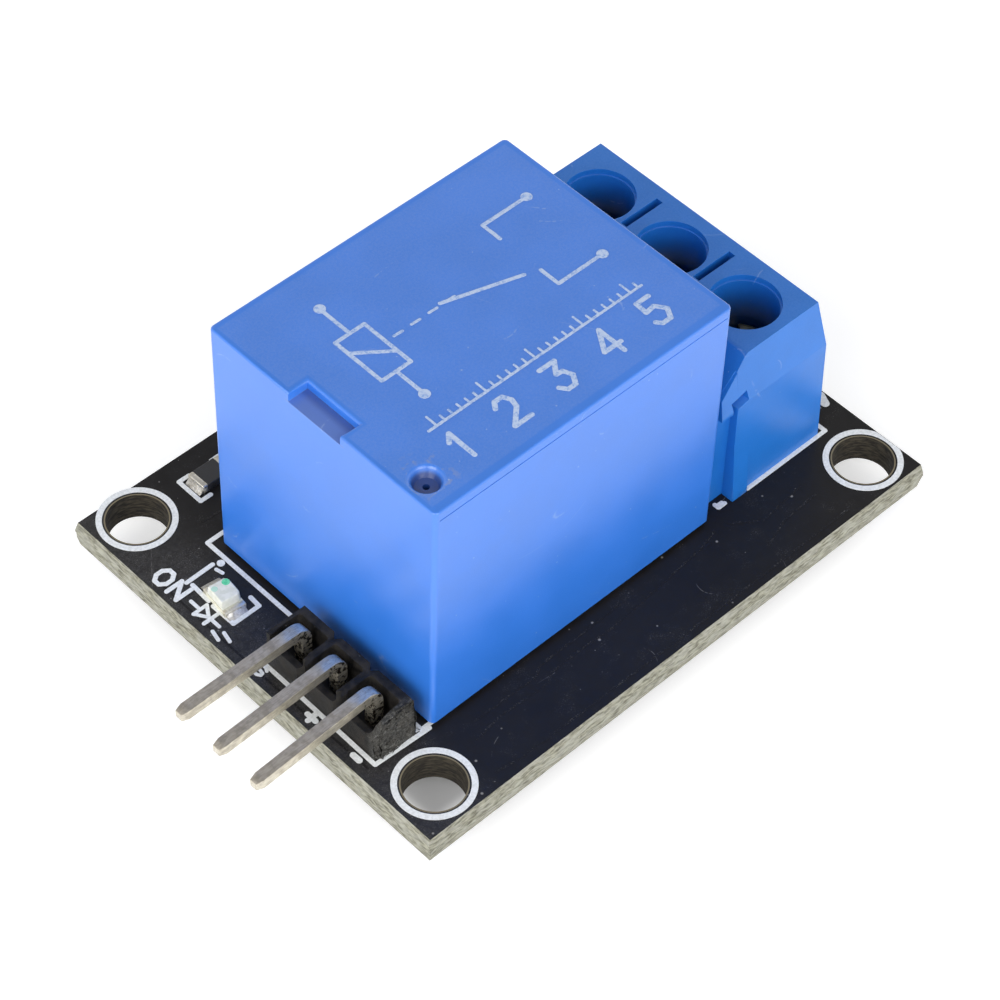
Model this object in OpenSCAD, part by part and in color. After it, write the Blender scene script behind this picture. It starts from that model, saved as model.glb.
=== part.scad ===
// Relay module board: one relay, a three-way screw terminal and a bent pin header on a small board.
// Working frame: near corner of the board at the origin, X along the long side from the header to
// the terminal, Y along the short side, Z up with the board's top face at 0. Every node is then
// moved so that the footprint is centred on the origin and the trimmed leads stand on Z = 0.

/* [Board] */
// Length of the board
board_l = 34.3; // [34.3:0.1:38]
// Width of the board
board_w = 26.04; // [26:0.02:28]
// Thickness of the board
board_t = 1.7; // [1.5:0.1:2]
// How far the snapped V-score stands out of each edge
score_bulge = 0.16; // [0.06:0.02:0.24]
// Radius of the mounting holes
hole_r = 1.6; // [1.5:0.05:1.7]
// Length of lead left below the board
lead_stub = 1.6; // [1.2:0.1:2.2]

/* [Relay] */
// Length of the relay cover
relay_l = 19; // [18.8:0.1:19.4]
// Width of the relay cover
relay_w = 15.48; // [15.3:0.02:15.7]
// Height of the relay cover
relay_h = 15.5; // [15.3:0.1:16]
// Wall of the relay cover
relay_wall = 0.8; // [0.6:0.05:0.9]
// Travel of the armature in degrees
armature_open = 4.3; // [3.5:0.1:4.5]

/* [Terminal] */
// Distance between poles
pole_pitch = 5.08; // [5:0.02:5.1]
// Height of the terminal housing
term_h = 10; // [9.8:0.1:10.6]
// Travel of the clamp plate
clamp_travel = 1.2; // [0.8:0.1:1.25]
// Radius of the screw shafts
screw_r = 1.2; // [1.1:0.02:1.22]

/* [Header] */
// Distance between pins
pin_pitch = 2.54; // [2.5:0.01:2.6]
// Side of the square pins
pin_w = 0.64; // [0.58:0.02:0.66]
// How far the pins reach past the board
pin_reach = 5.35; // [4.5:0.05:6.5]

/* [Hidden] */
$fn = 32;
over = 0.5;
relay_x = 4.42;
relay_y = 4.64;
relay_gap = 0.3;
relay_mid = relay_y + relay_w / 2;
relay_far = relay_y + relay_w;
hole_x = 2.33;                          // first hole from the header's edge and from the near edge
hole_y = 2.22;
hole_span_x = board_l - hole_x - 1.97;
hole_span_y = board_w - hole_y - 1.82;
strip_y = relay_far + 0.625 * (board_w - relay_far);    // row of small parts behind the relay
term_x = relay_x + relay_l + 0.74;
term_w = 7.74;
pole_x = term_x + 4.26;
pole_y = 8;
term_near = pole_y - 2.43;
term_far = pole_y + 2 * pole_pitch + 2.66;
header_x = 2.4;
header_y = 9.06;
drill_header = 0.5;
drill_terminal = 0.65;
drill_relay = 0.75;
spacer_h = 2.5;
pin_axis_z = 2.98;
silk_t = 0.03;
resistor_x = [6.85, 11.6];
transistor_x = 16.3;
diode_x = 22;
lead_z = -board_t - lead_stub;

// relay parts, measured from the middle of the cover's header end and up from its foot
row_y = relay_w / 2 - 1.74;             // rows of the coil pins and of the contact legs
common_x = relay_wall + 1.6;
coil_pin_x = common_x + 2;
leg_x = relay_l - relay_wall - 1.6;
contact_x = leg_x - 1.2;
arm_end = contact_x - 2.8;
yoke_x = relay_wall + 1.1;
yoke_t = 1.2;
flange_r = (arm_end - yoke_x - yoke_t - 0.3) / 2;
coil_x = arm_end - flange_r;
core_r = flange_r * 0.383;
yoke_hw = flange_r - 0.2;
bead_r = 0.3;                           // rounded edge of the yoke that the armature rocks on
hinge_x = yoke_x + bead_r;
pole_top = 10.8;                        // level of the core's face and of the yoke's edge
nc_z = 13.92;                           // underside of the upper fixed contact

shift = [(pin_reach - board_l - score_bulge) / 2, -board_w / 2, -lead_z];

// ---- helpers -------------------------------------------------------------------------------
module placed() { translate(shift) children(); }

module bar(x0, x1, y0, y1, z0, z1) { translate([x0, y0, z0]) cube([x1 - x0, y1 - y0, z1 - z0]); }

module ring(r_out, r_in, z0, z1) {
    translate([0, 0, z0]) difference() {
        cylinder(r = r_out, h = z1 - z0);
        translate([0, 0, -over]) cylinder(r = r_in, h = z1 - z0 + 2 * over);
    }
}

module hole_places() {
    for (i = [0, 1]) for (j = [0, 1])
        translate([hole_x + i * hole_span_x, hole_y + j * hole_span_y, 0]) children();
}

module pole(k) { translate([pole_x, pole_y + (k - 1) * pole_pitch, 0]) children(); }

module relay_frame() { translate([relay_x, relay_mid, relay_gap]) children(); }

module drill_places(kind) {
    if (kind == "header") for (k = [-1, 0, 1])
        translate([header_x, header_y + k * pin_pitch, 0]) children();
    if (kind == "terminal") for (k = [1, 2, 3]) pole(k) children();
    if (kind == "relay") {
        translate([relay_x + common_x, relay_mid, 0]) children();
        for (x = [coil_pin_x, leg_x]) for (s = [-1, 1])
            translate([relay_x + x, relay_mid + s * row_y, 0]) children();
    }
}

// solder that fills a drilled hole round a lead and stands below it as a cone
module joint(drill_r, lead_x, lead_y) {
    difference() {
        union() {
            translate([0, 0, -board_t]) cylinder(r = drill_r, h = board_t);
            translate([0, 0, -board_t - 0.95]) cylinder(r1 = drill_r * 0.75, r2 = drill_r * 1.7, h = 0.95);
        }
        translate([-lead_x / 2, -lead_y / 2, -board_t - 2]) cube([lead_x, lead_y, board_t + 3]);
    }
}

// lead with a trimmed, slightly pointed end
module lead(lx, ly, top) {
    translate([-lx / 2, -ly / 2, lead_z + 0.25]) cube([lx, ly, top - lead_z - 0.25]);
    hull() {
        translate([-lx / 2, -ly / 2, lead_z + 0.25]) cube([lx, ly, 0.02]);
        translate([-lx * 0.32, -ly * 0.32, lead_z]) cube([lx * 0.64, ly * 0.64, 0.02]);
    }
}

// ---- board ---------------------------------------------------------------------------------
module circuit_board() {
    b = score_bulge;
    difference() {
        hull() {
            bar(0, board_l, 0, board_w, -board_t, 0);
            bar(-b, board_l + b, -b, board_w + b, -board_t * 0.64, -board_t * 0.36);
        }
        hole_places() translate([0, 0, -board_t - over]) cylinder(r = hole_r, h = board_t + 2 * over);
        for (d = [["header", drill_header], ["terminal", drill_terminal], ["relay", drill_relay]])
            drill_places(d[0]) translate([0, 0, -board_t - over]) cylinder(r = d[1], h = board_t + 2 * over);
    }
}

module silk_frame(x0, x1, y0, y1, w) {
    difference() {
        bar(x0, x1, y0, y1, 0, silk_t);
        bar(x0 + w, x1 - w, y0 + w, y1 - w, -over, over);
    }
}

module silkscreen() {
    w = 0.25;
    // rings round the mounting holes, trimmed where the board ends
    intersection() {
        hole_places() ring(2.085, 1.765, 0, silk_t);
        bar(0.02, board_l - 0.02, 0.02, board_w - 0.02, -over, over);
    }
    // relay outline, the near side of it under the relay
    silk_frame(relay_x - 0.5, relay_x + relay_l - 0.4, relay_y + 0.2,
        relay_far + 0.11 * (board_w - relay_far), w);
    // header outline, open towards the relay
    bar(0.95, 0.95 + w, 4.8, 13.45, 0, silk_t);
    bar(0.95 + w, 3.9, 4.8, 4.8 + w - 0.03, 0, silk_t);
    bar(0.95 + w, 3.9, 13.2, 13.45, 0, silk_t);
    // terminal outline
    difference() {
        silk_frame(term_x + 0.45, term_x + term_w + 0.5, term_near - 0.8, term_far + 0.45, w);
        bar(term_x + 0.4, term_x + 2.4, term_near - 1.2, term_near, -over, over);
        bar(term_x + 0.4, term_x + term_w + 0.05, term_near - 0.58, term_far + 0.1, -over, over);
    }
    // marks of the light's polarity
    bar(1.42, 3.32, 19.28, 19.53, 0, silk_t);
    bar(1.42, 1.67, 17.8, 19.1, 0, silk_t);
    bar(1.42, 1.67, 15.3, 16.2, 0, silk_t);
    bar(1.67, 3.1, 15.3, 15.55, 0, silk_t);
    bar(3.1, 3.35, 15.3, 16.4, 0, silk_t);
    translate([3.62, 19.2, 0]) cylinder(r = 0.2, h = silk_t);
    // brackets round the two resistors
    for (x = resistor_x) for (s = [0, 180]) translate([x, strip_y, 0]) rotate([0, 0, s]) {
        bar(1.25, 1.5, -0.9, 0.9, 0, silk_t);
        bar(0.7, 1.25, -0.9, -0.72, 0, silk_t);
        bar(0.7, 1.25, 0.72, 0.9, 0, silk_t);
    }
    // bars beside the transistor and the diode
    for (s = [-1, 1]) {
        translate([transistor_x + s * 1.9, strip_y, 0]) bar(-0.1, 0.1, -1.4, 1.2, 0, silk_t);
        translate([diode_x, strip_y + s * 1.29, 0]) bar(-2.4, 2.4, -0.09, 0.09, 0, silk_t);
    }
}

// ---- header --------------------------------------------------------------------------------
module header_spacer() {
    x0 = header_x - 1.22;
    x1 = header_x + 1.22;
    y0 = header_y - 1.5 * pin_pitch - 0.22;
    y1 = header_y + 1.5 * pin_pitch;
    difference() {
        bar(x0, x1, y0, y1, 0, spacer_h);
        // grooves where the strip is snapped apart
        for (k = [-0.5, 0.5]) for (x = [x0, x1])
            translate([x, header_y + k * pin_pitch, -over]) rotate([0, 0, 45])
                translate([-0.25, -0.25, 0]) cube([0.5, 0.5, spacer_h + 2 * over]);
        // torn near end
        translate([x1, y0, -over]) rotate([0, 0, 45]) translate([-0.4, -0.4, 0])
            cube([0.8, 0.8, spacer_h + 1]);
        translate([x0, y0, spacer_h]) rotate([45, 0, 0]) translate([-over, -0.2, -0.2]) cube([4, 0.4, 0.4]);
        // dished recess and square hole round each pin
        for (k = [-1, 0, 1]) translate([header_x, header_y + k * pin_pitch, 0]) {
            translate([0, 0, spacer_h - 0.9]) cylinder(r1 = 0.6, r2 = 1.05, h = 0.95);
            translate([-pin_w / 2, -pin_w / 2, -over]) cube([pin_w, pin_w, spacer_h + 1]);
        }
    }
}

module header_pin(k) {
    bend = 0.3 + pin_w / 2;
    translate([header_x, header_y + (k - 2) * pin_pitch, 0]) {
        lead(pin_w, pin_w, pin_axis_z - bend);
        translate([-bend, 0, pin_axis_z - bend]) rotate([90, 0, 0]) rotate_extrude(angle = 90)
            translate([0.3, -pin_w / 2]) square(pin_w);
        translate([-header_x - pin_reach + 0.35, -pin_w / 2, pin_axis_z - pin_w / 2])
            cube([header_x + pin_reach - 0.35 - bend, pin_w, pin_w]);
        hull() {
            translate([-header_x - pin_reach + 0.35, -pin_w / 2, pin_axis_z - pin_w / 2])
                cube([0.02, pin_w, pin_w]);
            translate([-header_x - pin_reach, -pin_w * 0.26, pin_axis_z - pin_w * 0.26])
                cube([0.02, pin_w * 0.52, pin_w * 0.52]);
        }
    }
}

// ---- screw terminal --------------------------------------------------------------------------
// side profile of the terminal, seen along Y
module terminal_profile() {
    polygon([[0, 0], [0, term_h - 2], [1.72, term_h - 0.1], [1.93, term_h], [6.94, term_h],
        [term_w - 0.22, term_h - 3.1], [term_w, 0]]);
}

// near end of the terminal, seen along X: flat at the back, bevelled on the wire side
module terminal_end_profile() {
    polygon([[0.02, term_h + 1], [-0.02, term_h], [-0.45, term_h - 3.13], [-0.57, -over],
        [3, -over], [3, term_h + 1]]);
}

module terminal_housing() {
    wall = 1.14;
    difference() {
        union() {
            intersection() {
                translate([term_x, term_far + over, 0]) rotate([90, 0, 0])
                    linear_extrude(height = 30) terminal_profile();
                union() {
                    bar(term_x - over, term_x + term_w + over, term_near, term_far, 0, term_h + 1);
                    translate([term_x + wall, term_near, 0]) rotate([90, 0, 90])
                        linear_extrude(height = 8) terminal_end_profile();
                }
            }
            // tongue that hooks into the next block
            hull() {
                bar(term_x + wall, term_x + wall + 1.05, term_near - 0.78, term_near, 0, 0.4);
                bar(term_x + wall, term_x + wall + 1.05, term_near - 0.45, term_near, 0, 4.6);
            }
        }
        // pocket above the tongue
        translate([term_x + wall - 0.3, term_near - 1, term_h - 3.3]) rotate([0, -12, 0])
            cube([1.1, 1.12, 0.72]);
        // groove for the next block's tongue
        bar(term_x + wall - 0.06, term_x + wall + 1.11, term_far - 0.5, term_far + over, -over, 4.8);
        // slits between the poles
        for (k = [1, 2]) pole(k)
            bar(-0.64, 1.95, pole_pitch / 2, pole_pitch / 2 + 0.42, term_h - 3, term_h + over);
        // relief under the back edge
        bar(term_x - over, term_x + 0.5, term_near + 1, term_far - 1, -over, 0.45);
        for (k = [1, 2, 3]) pole(k) {
            translate([0, 0, 3.6]) cylinder(r = 1.87, h = term_h);
            bar(-1.95, 2.75, -1.95, 1.95, 0.6, 3.65);
            bar(2.7, 5, -1.7, 1.7, 0.95, 4.1);
            bar(-0.5, 0.5, -0.4, 0.4, -over, 1);
        }
    }
}

module wire_clamp(k) {
    pole(k) {
        difference() {
            bar(-1.9, 1.9, -1.9, 1.9, 0.6, 3.6);
            bar(-3, 3, -1.5, 1.5, 1.1, 3);
            translate([0, 0, 2.5]) cylinder(r = screw_r + 0.05, h = 2);
        }
        lead(0.9, 0.7, 0.65);
    }
}

module clamp_plate(k) {
    pole(k) {
        bar(-1.6, 1.6, -1.42, 1.42, 2.7, 2.95);
        bar(1.35, 1.6, -1.42, 1.42, 2.45, 2.8);
    }
}

module clamp_screw(k) {
    head_z = 3.6 + clamp_travel + 0.05;
    pole(k) difference() {
        union() {
            translate([0, 0, 2.97]) cylinder(r1 = screw_r - 0.25, r2 = screw_r, h = 0.3);
            translate([0, 0, 3.27]) cylinder(r = screw_r, h = head_z - 3.27);
            translate([0, 0, head_z]) cylinder(r = 1.75, h = 0.95);
            translate([0, 0, head_z + 0.95]) cylinder(r1 = 1.75, r2 = 1.5, h = 0.2);
        }
        rotate([0, 0, 24 + 31 * k]) translate([-3, -0.24, head_z + 0.55]) cube([6, 0.48, 1]);
        rotate([0, 0, 114 + 31 * k]) translate([-1.1, -0.24, head_z + 0.6]) cube([2.2, 0.48, 1]);
    }
}

// ---- relay -----------------------------------------------------------------------------------
module relay_cover() {
    r = 0.42;
    relay_frame() difference() {
        hull() for (x = [r, relay_l - r]) for (s = [-1, 1]) translate([x, s * (relay_w / 2 - r), 0]) {
            cylinder(r = r, h = 1);
            translate([0, 0, relay_h - r]) sphere(r = r);
        }
        bar(relay_wall, relay_l - relay_wall, -relay_w / 2 + relay_wall, relay_w / 2 - relay_wall,
            -over, relay_h - 0.9);
        // recess in the top's end edge
        bar(-over, 1.18, -relay_w / 2 + 6.32, -relay_w / 2 + 9.86, relay_h - 0.55, relay_h + over);
        // dished vent with its small hole
        translate([1.18, -relay_w / 2 + 1.86, relay_h - 0.5]) cylinder(r1 = 0.5, r2 = 0.8, h = 0.52);
        translate([1.18, -relay_w / 2 + 1.86, relay_h - 0.75]) cylinder(r = 0.17, h = 1, $fn = 16);
        // fine parting groove along the near top edge
        bar(0.3, relay_l - 0.3, -relay_w / 2 - over, -relay_w / 2 + 0.05, relay_h - 0.62, relay_h - 0.56);
    }
}

module relay_base() {
    x0 = relay_wall;
    x1 = relay_l - relay_wall;
    y1 = relay_w / 2 - relay_wall;
    relay_frame() difference() {
        union() {
            bar(x0, x1, -y1, y1, 0.25, 1.7);
            for (x = [x0 + 0.6, x1 - 1.8]) for (s = [-1, 1])
                translate([x, s * (y1 - 3.4) - 0.6, -relay_gap]) cube([1.2, 1.2, 1]);
        }
        translate([common_x, 0, 0]) bar(-0.27, 0.27, -0.55, 0.55, -1, 3);
        for (s = [-1, 1]) translate([coil_pin_x, s * row_y, 0]) bar(-0.32, 0.32, -0.32, 0.32, -1, 3);
        for (s = [-1, 1]) translate([leg_x, s * row_y, 0]) bar(-0.27, 0.27, -0.65, 0.65, -1, 3);
    }
}

module coil_bobbin() {
    relay_frame() difference() {
        union() {
            bar(yoke_x + yoke_t + 0.25, arm_end, -row_y - 0.6, row_y + 0.6, 3.3, 4.1);
            translate([coil_x, 0, 4]) cylinder(r = core_r + 0.64, h = 5.7);
            translate([coil_x, 0, 9.5]) cylinder(r = flange_r, h = 0.6);
        }
        translate([coil_x, 0, 2]) cylinder(r = core_r + 0.04, h = 10);
        for (s = [-1, 1]) translate([coil_pin_x, s * row_y, 0]) bar(-0.3, 0.3, -0.3, 0.3, 3, 5);
    }
}

module coil_winding() {
    relay_frame() translate([coil_x, 0, 0]) ring(flange_r - 0.3, core_r + 0.64, 4.1, 9.5);
}

module iron_core() {
    relay_frame() translate([coil_x, 0, 0]) {
        translate([0, 0, 2.1]) cylinder(r = core_r, h = 8.1);
        translate([0, 0, 10.1]) cylinder(r = flange_r - 1.3, h = pole_top - 10.1);
    }
}

module relay_yoke() {
    relay_frame() difference() {
        union() {
            bar(yoke_x, yoke_x + yoke_t, -yoke_hw, yoke_hw, 2.1, pole_top);
            bar(yoke_x + yoke_t - 0.1, coil_x + 2.6, -yoke_hw, yoke_hw, 2.1, 3.3);
            translate([hinge_x, yoke_hw, pole_top]) rotate([90, 0, 0]) cylinder(r = bead_r, h = 2 * yoke_hw);
        }
        translate([coil_x, 0, 0]) cylinder(r = core_r, h = 5);
    }
}

// everything that swings is drawn closed, then opened about the yoke's edge
module swung() {
    relay_frame() translate([hinge_x, 0, pole_top]) rotate([0, -armature_open, 0])
        translate([-hinge_x, 0, -pole_top]) children();
}

module relay_armature() {
    swung() difference() {
        union() {
            bar(yoke_x - 0.25, arm_end, 0.2 - yoke_hw, yoke_hw - 0.2, pole_top + 0.03, pole_top + 1.03);
            bar(arm_end - 0.8, arm_end + 0.8, -1.6, 1.6, pole_top + 0.03, pole_top + 1.03);
        }
        // groove that rocks on the yoke's rounded edge
        translate([hinge_x, 5, pole_top]) rotate([90, 0, 0]) cylinder(r = bead_r + 0.03, h = 10);
    }
}

module contact_spring() {
    z = pole_top + 1.03;
    rivet_x = (yoke_x + arm_end) / 2 - 1.25;
    swung() {
        difference() {
            bar(relay_wall + 0.4, contact_x + 1.6, -1.9, 1.9, z, z + 0.18);
            translate([contact_x, 0, z - 1]) cylinder(r = 0.5, h = 3);
        }
        bar(relay_wall + 0.4, relay_wall + 0.58, -1.9, 1.9, z - 0.75, z + 0.1);
    }
    // rivets that hold the leaf on the armature
    swung() for (s = [-1, 1]) translate([rivet_x, s * 0.95, z]) cylinder(r = 0.45, h = 0.4);
}

module moving_contact() {
    z = pole_top + 1.03;
    swung() translate([contact_x, 0, 0]) {
        translate([0, 0, z - 0.5]) cylinder(r1 = 0.95, r2 = 1.15, h = 0.5);
        translate([0, 0, z]) cylinder(r = 0.5, h = 0.18);
        translate([0, 0, z + 0.18]) cylinder(r1 = 1.15, r2 = 0.95, h = 0.5);
    }
}

// fixed contact arm: leg up the end wall, blade in to the centre
module contact_arm(side, level) {
    relay_frame() {
        translate([leg_x, side * row_y, 0]) bar(-0.25, 0.25, -0.6, 0.6, 1.7 - 0.05, level + 0.4);
        scale([1, side, 1]) bar(contact_x - 0.9, leg_x + 0.25, -1.1, row_y + 0.6, level, level + 0.4);
    }
    translate([relay_x + leg_x, relay_mid + side * row_y, 0]) lead(0.5, 1.2, relay_gap + 1.75);
}

no_z = pole_top + 1.03 - 0.5 - 0.45;     // top of the lower fixed contact's blade

module open_terminal() {
    difference() {
        contact_arm(1, no_z - 0.4);
        relay_frame() translate([contact_x, 0, no_z - 1]) cylinder(r = 0.4, h = 2);
    }
}

module open_contact() {
    relay_frame() translate([contact_x, 0, 0]) {
        translate([0, 0, no_z]) cylinder(r1 = 1.15, r2 = 0.95, h = 0.4);
        translate([0, 0, no_z - 0.6]) cylinder(r = 0.4, h = 0.6);
    }
}

module closed_terminal() {
    difference() {
        contact_arm(-1, nc_z + 0.25);
        relay_frame() translate([contact_x, 0, nc_z - 1]) cylinder(r = 0.4, h = 3);
    }
}

module closed_contact() {
    relay_frame() translate([contact_x, 0, 0]) {
        translate([0, 0, nc_z]) cylinder(r1 = 0.95, r2 = 1.15, h = 0.25);
        translate([0, 0, nc_z + 0.2]) cylinder(r = 0.4, h = 0.45);
    }
}

module common_terminal() {
    relay_frame() {
        bar(yoke_x - 0.5, common_x + 0.25, -1.2, 1.2, 1.7, 2.1);
        bar(yoke_x - 0.5, yoke_x, -1.2, 1.2, 1.7, 8.6);
    }
    translate([relay_x + common_x, relay_mid, 0]) lead(0.5, 1, relay_gap + 1.75);
}

module coil_pin(side) {
    translate([relay_x + coil_pin_x, relay_mid + side * row_y, 0]) lead(0.6, 0.6, relay_gap + 5.2);
}

// ---- surface-mounted parts --------------------------------------------------------------------
module led_frame() { translate([2.22, 17.3, 0]) rotate([0, 0, -7]) children(); }

module led_base() { led_frame() bar(-0.62, 0.62, -0.72, 0.72, 0, 0.28); }

module led_lens() {
    led_frame() hull() {
        bar(-0.62, 0.62, -0.72, 0.72, 0.28, 0.32);
        bar(-0.56, 0.56, -0.62, 0.62, 0.28, 0.82);
    }
}

module led_contacts() {
    led_frame() for (s = [-1, 1]) bar(-0.62, 0.62, s > 0 ? 0.72 : -1, s > 0 ? 1 : -0.72, 0, 0.32);
}

module chip_body(x) {
    translate([x, strip_y, 0]) bar(-0.66, 0.66, -0.62, 0.62, 0, 0.52);
}

module chip_caps(x) {
    translate([x, strip_y, 0]) for (s = [-1, 1]) scale([s, 1, 1]) bar(0.66, 1, -0.62, 0.62, 0, 0.54);
}

module transistor_body() {
    translate([transistor_x, strip_y - 0.12, 0]) hull() {
        bar(-1.45, 1.45, -0.65, 0.65, 0.48, 0.56);
        bar(-1.36, 1.36, -0.56, 0.56, 0.1, 0.95);
    }
}

module transistor_leads() {
    translate([transistor_x, strip_y - 0.12, 0]) for (p = [[-0.95, -1], [0.95, -1], [0, 1]])
        translate([p[0], 0, 0]) scale([1, p[1], 1]) {
        bar(-0.2, 0.2, 0.65, 0.95, 0.46, 0.58);
        bar(-0.2, 0.2, 0.83, 0.95, 0, 0.5);
        bar(-0.2, 0.2, 0.83, 1.28, 0, 0.12);
    }
}

module diode_body() {
    translate([diode_x, strip_y, 0]) hull() {
        bar(-1.35, 1.35, -0.8, 0.8, 0.55, 0.65);
        bar(-1.25, 1.25, -0.72, 0.72, 0.05, 1.15);
    }
}

module diode_leads() {
    translate([diode_x, strip_y, 0]) for (s = [-1, 1]) scale([s, 1, 1]) {
        bar(1.35, 1.55, -0.3, 0.3, 0.54, 0.66);
        bar(1.43, 1.55, -0.3, 0.3, 0, 0.6);
        bar(1.43, 1.95, -0.3, 0.3, 0, 0.12);
    }
}

// wedge of solder, high end at x = 0
module fillet(w, run, rise) {
    translate([0, w / 2, 0]) rotate([90, 0, 0]) linear_extrude(height = w)
        polygon([[0, 0], [run, 0], [run * 0.42, rise * 0.34], [0, rise]]);
}

module surface_solder() {
    for (x = resistor_x) translate([x, strip_y, 0]) for (s = [0, 180]) rotate([0, 0, s])
        translate([1, 0, 0]) fillet(1.14, 0.24, 0.36);
    led_frame() for (s = [90, -90]) rotate([0, 0, s]) translate([1, 0, 0]) fillet(1.1, 0.36, 0.26);
    translate([transistor_x, strip_y - 0.12, 0]) for (p = [[-0.95, -90], [0.95, -90], [0, 90]])
        translate([p[0], 0, 0]) rotate([0, 0, p[1]]) translate([1.28, 0, 0]) fillet(0.6, 0.25, 0.1);
    translate([diode_x, strip_y, 0]) for (s = [0, 180]) rotate([0, 0, s])
        translate([1.95, 0, 0]) fillet(0.9, 0.3, 0.1);
}

module header_solder() { drill_places("header") joint(drill_header, pin_w, pin_w); }

module terminal_solder() { drill_places("terminal") joint(drill_terminal, 0.9, 0.7); }

module relay_solder() {
    translate([relay_x + common_x, relay_mid, 0]) joint(drill_relay, 0.5, 1);
    for (s = [-1, 1]) translate([relay_x, relay_mid + s * row_y, 0]) {
        translate([coil_pin_x, 0, 0]) joint(drill_relay, 0.6, 0.6);
        translate([leg_x, 0, 0]) joint(drill_relay, 0.5, 1.2);
    }
}

color([0.05, 0.05, 0.06]) placed() circuit_board();
color([0.92, 0.92, 0.9]) placed() silkscreen();
color([0.06, 0.06, 0.06]) placed() header_spacer();
color([0.72, 0.68, 0.58]) placed() header_pin(1);  // header_pin_1
color([0.72, 0.68, 0.58]) placed() header_pin(2);  // header_pin_2
color([0.72, 0.68, 0.58]) placed() header_pin(3);  // header_pin_3
color([0.1, 0.3, 0.75]) placed() terminal_housing();
color([0.75, 0.68, 0.45]) placed() wire_clamp(1);  // wire_clamp_1
color([0.75, 0.68, 0.45]) placed() wire_clamp(2);  // wire_clamp_2
color([0.75, 0.68, 0.45]) placed() wire_clamp(3);  // wire_clamp_3
color([0.78, 0.78, 0.78]) placed() clamp_plate(1);  // clamp_plate_1
color([0.78, 0.78, 0.78]) placed() clamp_plate(2);  // clamp_plate_2
color([0.78, 0.78, 0.78]) placed() clamp_plate(3);  // clamp_plate_3
color([0.75, 0.7, 0.5]) placed() clamp_screw(1);  // clamp_screw_1
color([0.75, 0.7, 0.5]) placed() clamp_screw(2);  // clamp_screw_2
color([0.75, 0.7, 0.5]) placed() clamp_screw(3);  // clamp_screw_3
color([0.15, 0.35, 0.85]) placed() relay_cover();
color([0.12, 0.3, 0.75]) placed() relay_base();
color([0.9, 0.88, 0.82]) placed() coil_bobbin();
color([0.7, 0.35, 0.12]) placed() coil_winding();
color([0.7, 0.7, 0.72]) placed() iron_core();
color([0.65, 0.65, 0.68]) placed() relay_yoke();
color([0.68, 0.68, 0.7]) placed() relay_armature();
color([0.75, 0.5, 0.25]) placed() contact_spring();
color([0.85, 0.85, 0.85]) placed() moving_contact();
color([0.72, 0.5, 0.3]) placed() open_terminal();
color([0.85, 0.85, 0.85]) placed() open_contact();
color([0.72, 0.5, 0.3]) placed() closed_terminal();
color([0.85, 0.85, 0.85]) placed() closed_contact();
color([0.72, 0.5, 0.3]) placed() common_terminal();
color([0.72, 0.72, 0.72]) placed() coil_pin(-1);  // coil_pin_1
color([0.72, 0.72, 0.72]) placed() coil_pin(1);  // coil_pin_2
color([0.9, 0.88, 0.8]) placed() led_base();
color([0.9, 0.92, 0.82]) placed() led_lens();
color([0.8, 0.78, 0.7]) placed() led_contacts();
color([0.07, 0.07, 0.08]) placed() chip_body(resistor_x[0]);  // resistor_1_body
color([0.8, 0.8, 0.78]) placed() chip_caps(resistor_x[0]);  // resistor_1_caps
color([0.07, 0.07, 0.08]) placed() chip_body(resistor_x[1]);  // resistor_2_body
color([0.8, 0.8, 0.78]) placed() chip_caps(resistor_x[1]);  // resistor_2_caps
color([0.06, 0.06, 0.06]) placed() transistor_body();
color([0.75, 0.75, 0.75]) placed() transistor_leads();
color([0.06, 0.06, 0.06]) placed() diode_body();
color([0.75, 0.75, 0.75]) placed() diode_leads();
color([0.8, 0.8, 0.8]) placed() surface_solder();
color([0.8, 0.8, 0.8]) placed() header_solder();
color([0.8, 0.8, 0.8]) placed() terminal_solder();
color([0.8, 0.8, 0.8]) placed() relay_solder();
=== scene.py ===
# Relay module board: a small black board that carries a boxed relay, a three-way screw terminal,
# a bent pin header, a status light and a few soldered chips. All lengths are in metres.
import math

import bmesh
import bpy
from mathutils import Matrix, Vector


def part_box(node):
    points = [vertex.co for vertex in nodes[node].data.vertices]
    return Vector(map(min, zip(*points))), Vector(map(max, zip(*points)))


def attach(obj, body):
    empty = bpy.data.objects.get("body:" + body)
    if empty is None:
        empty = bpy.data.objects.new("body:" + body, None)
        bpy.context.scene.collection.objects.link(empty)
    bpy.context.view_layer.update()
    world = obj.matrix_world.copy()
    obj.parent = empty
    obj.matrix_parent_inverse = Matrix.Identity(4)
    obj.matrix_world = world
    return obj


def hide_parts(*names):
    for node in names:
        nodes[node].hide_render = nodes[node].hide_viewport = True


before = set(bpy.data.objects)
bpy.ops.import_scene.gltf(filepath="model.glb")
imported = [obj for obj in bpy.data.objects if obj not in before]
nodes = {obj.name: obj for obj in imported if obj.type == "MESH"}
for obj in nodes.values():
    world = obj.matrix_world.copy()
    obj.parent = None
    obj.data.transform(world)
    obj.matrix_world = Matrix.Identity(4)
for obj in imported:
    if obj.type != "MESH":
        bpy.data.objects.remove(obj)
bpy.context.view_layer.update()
scene = bpy.context.scene


# ---- Table, lamps and camera ---------------------------------------------------------------------
# A white table top inside a pale surround that grows dimmer overhead, with two large soft lamps.
# The long lens looks down on the corner of the board that carries the pin header.
def add(tree, kind, sockets=None, **settings):
    """a shader node with its settings made and its sockets linked or filled"""
    made = tree.nodes.new("ShaderNode" + kind)
    for key, value in settings.items():
        setattr(made, key, value)
    for key, value in (sockets or {}).items():
        if isinstance(value, bpy.types.NodeSocket):
            tree.links.new(value, made.inputs[key])
        else:
            made.inputs[key].default_value = value
    return made


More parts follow.
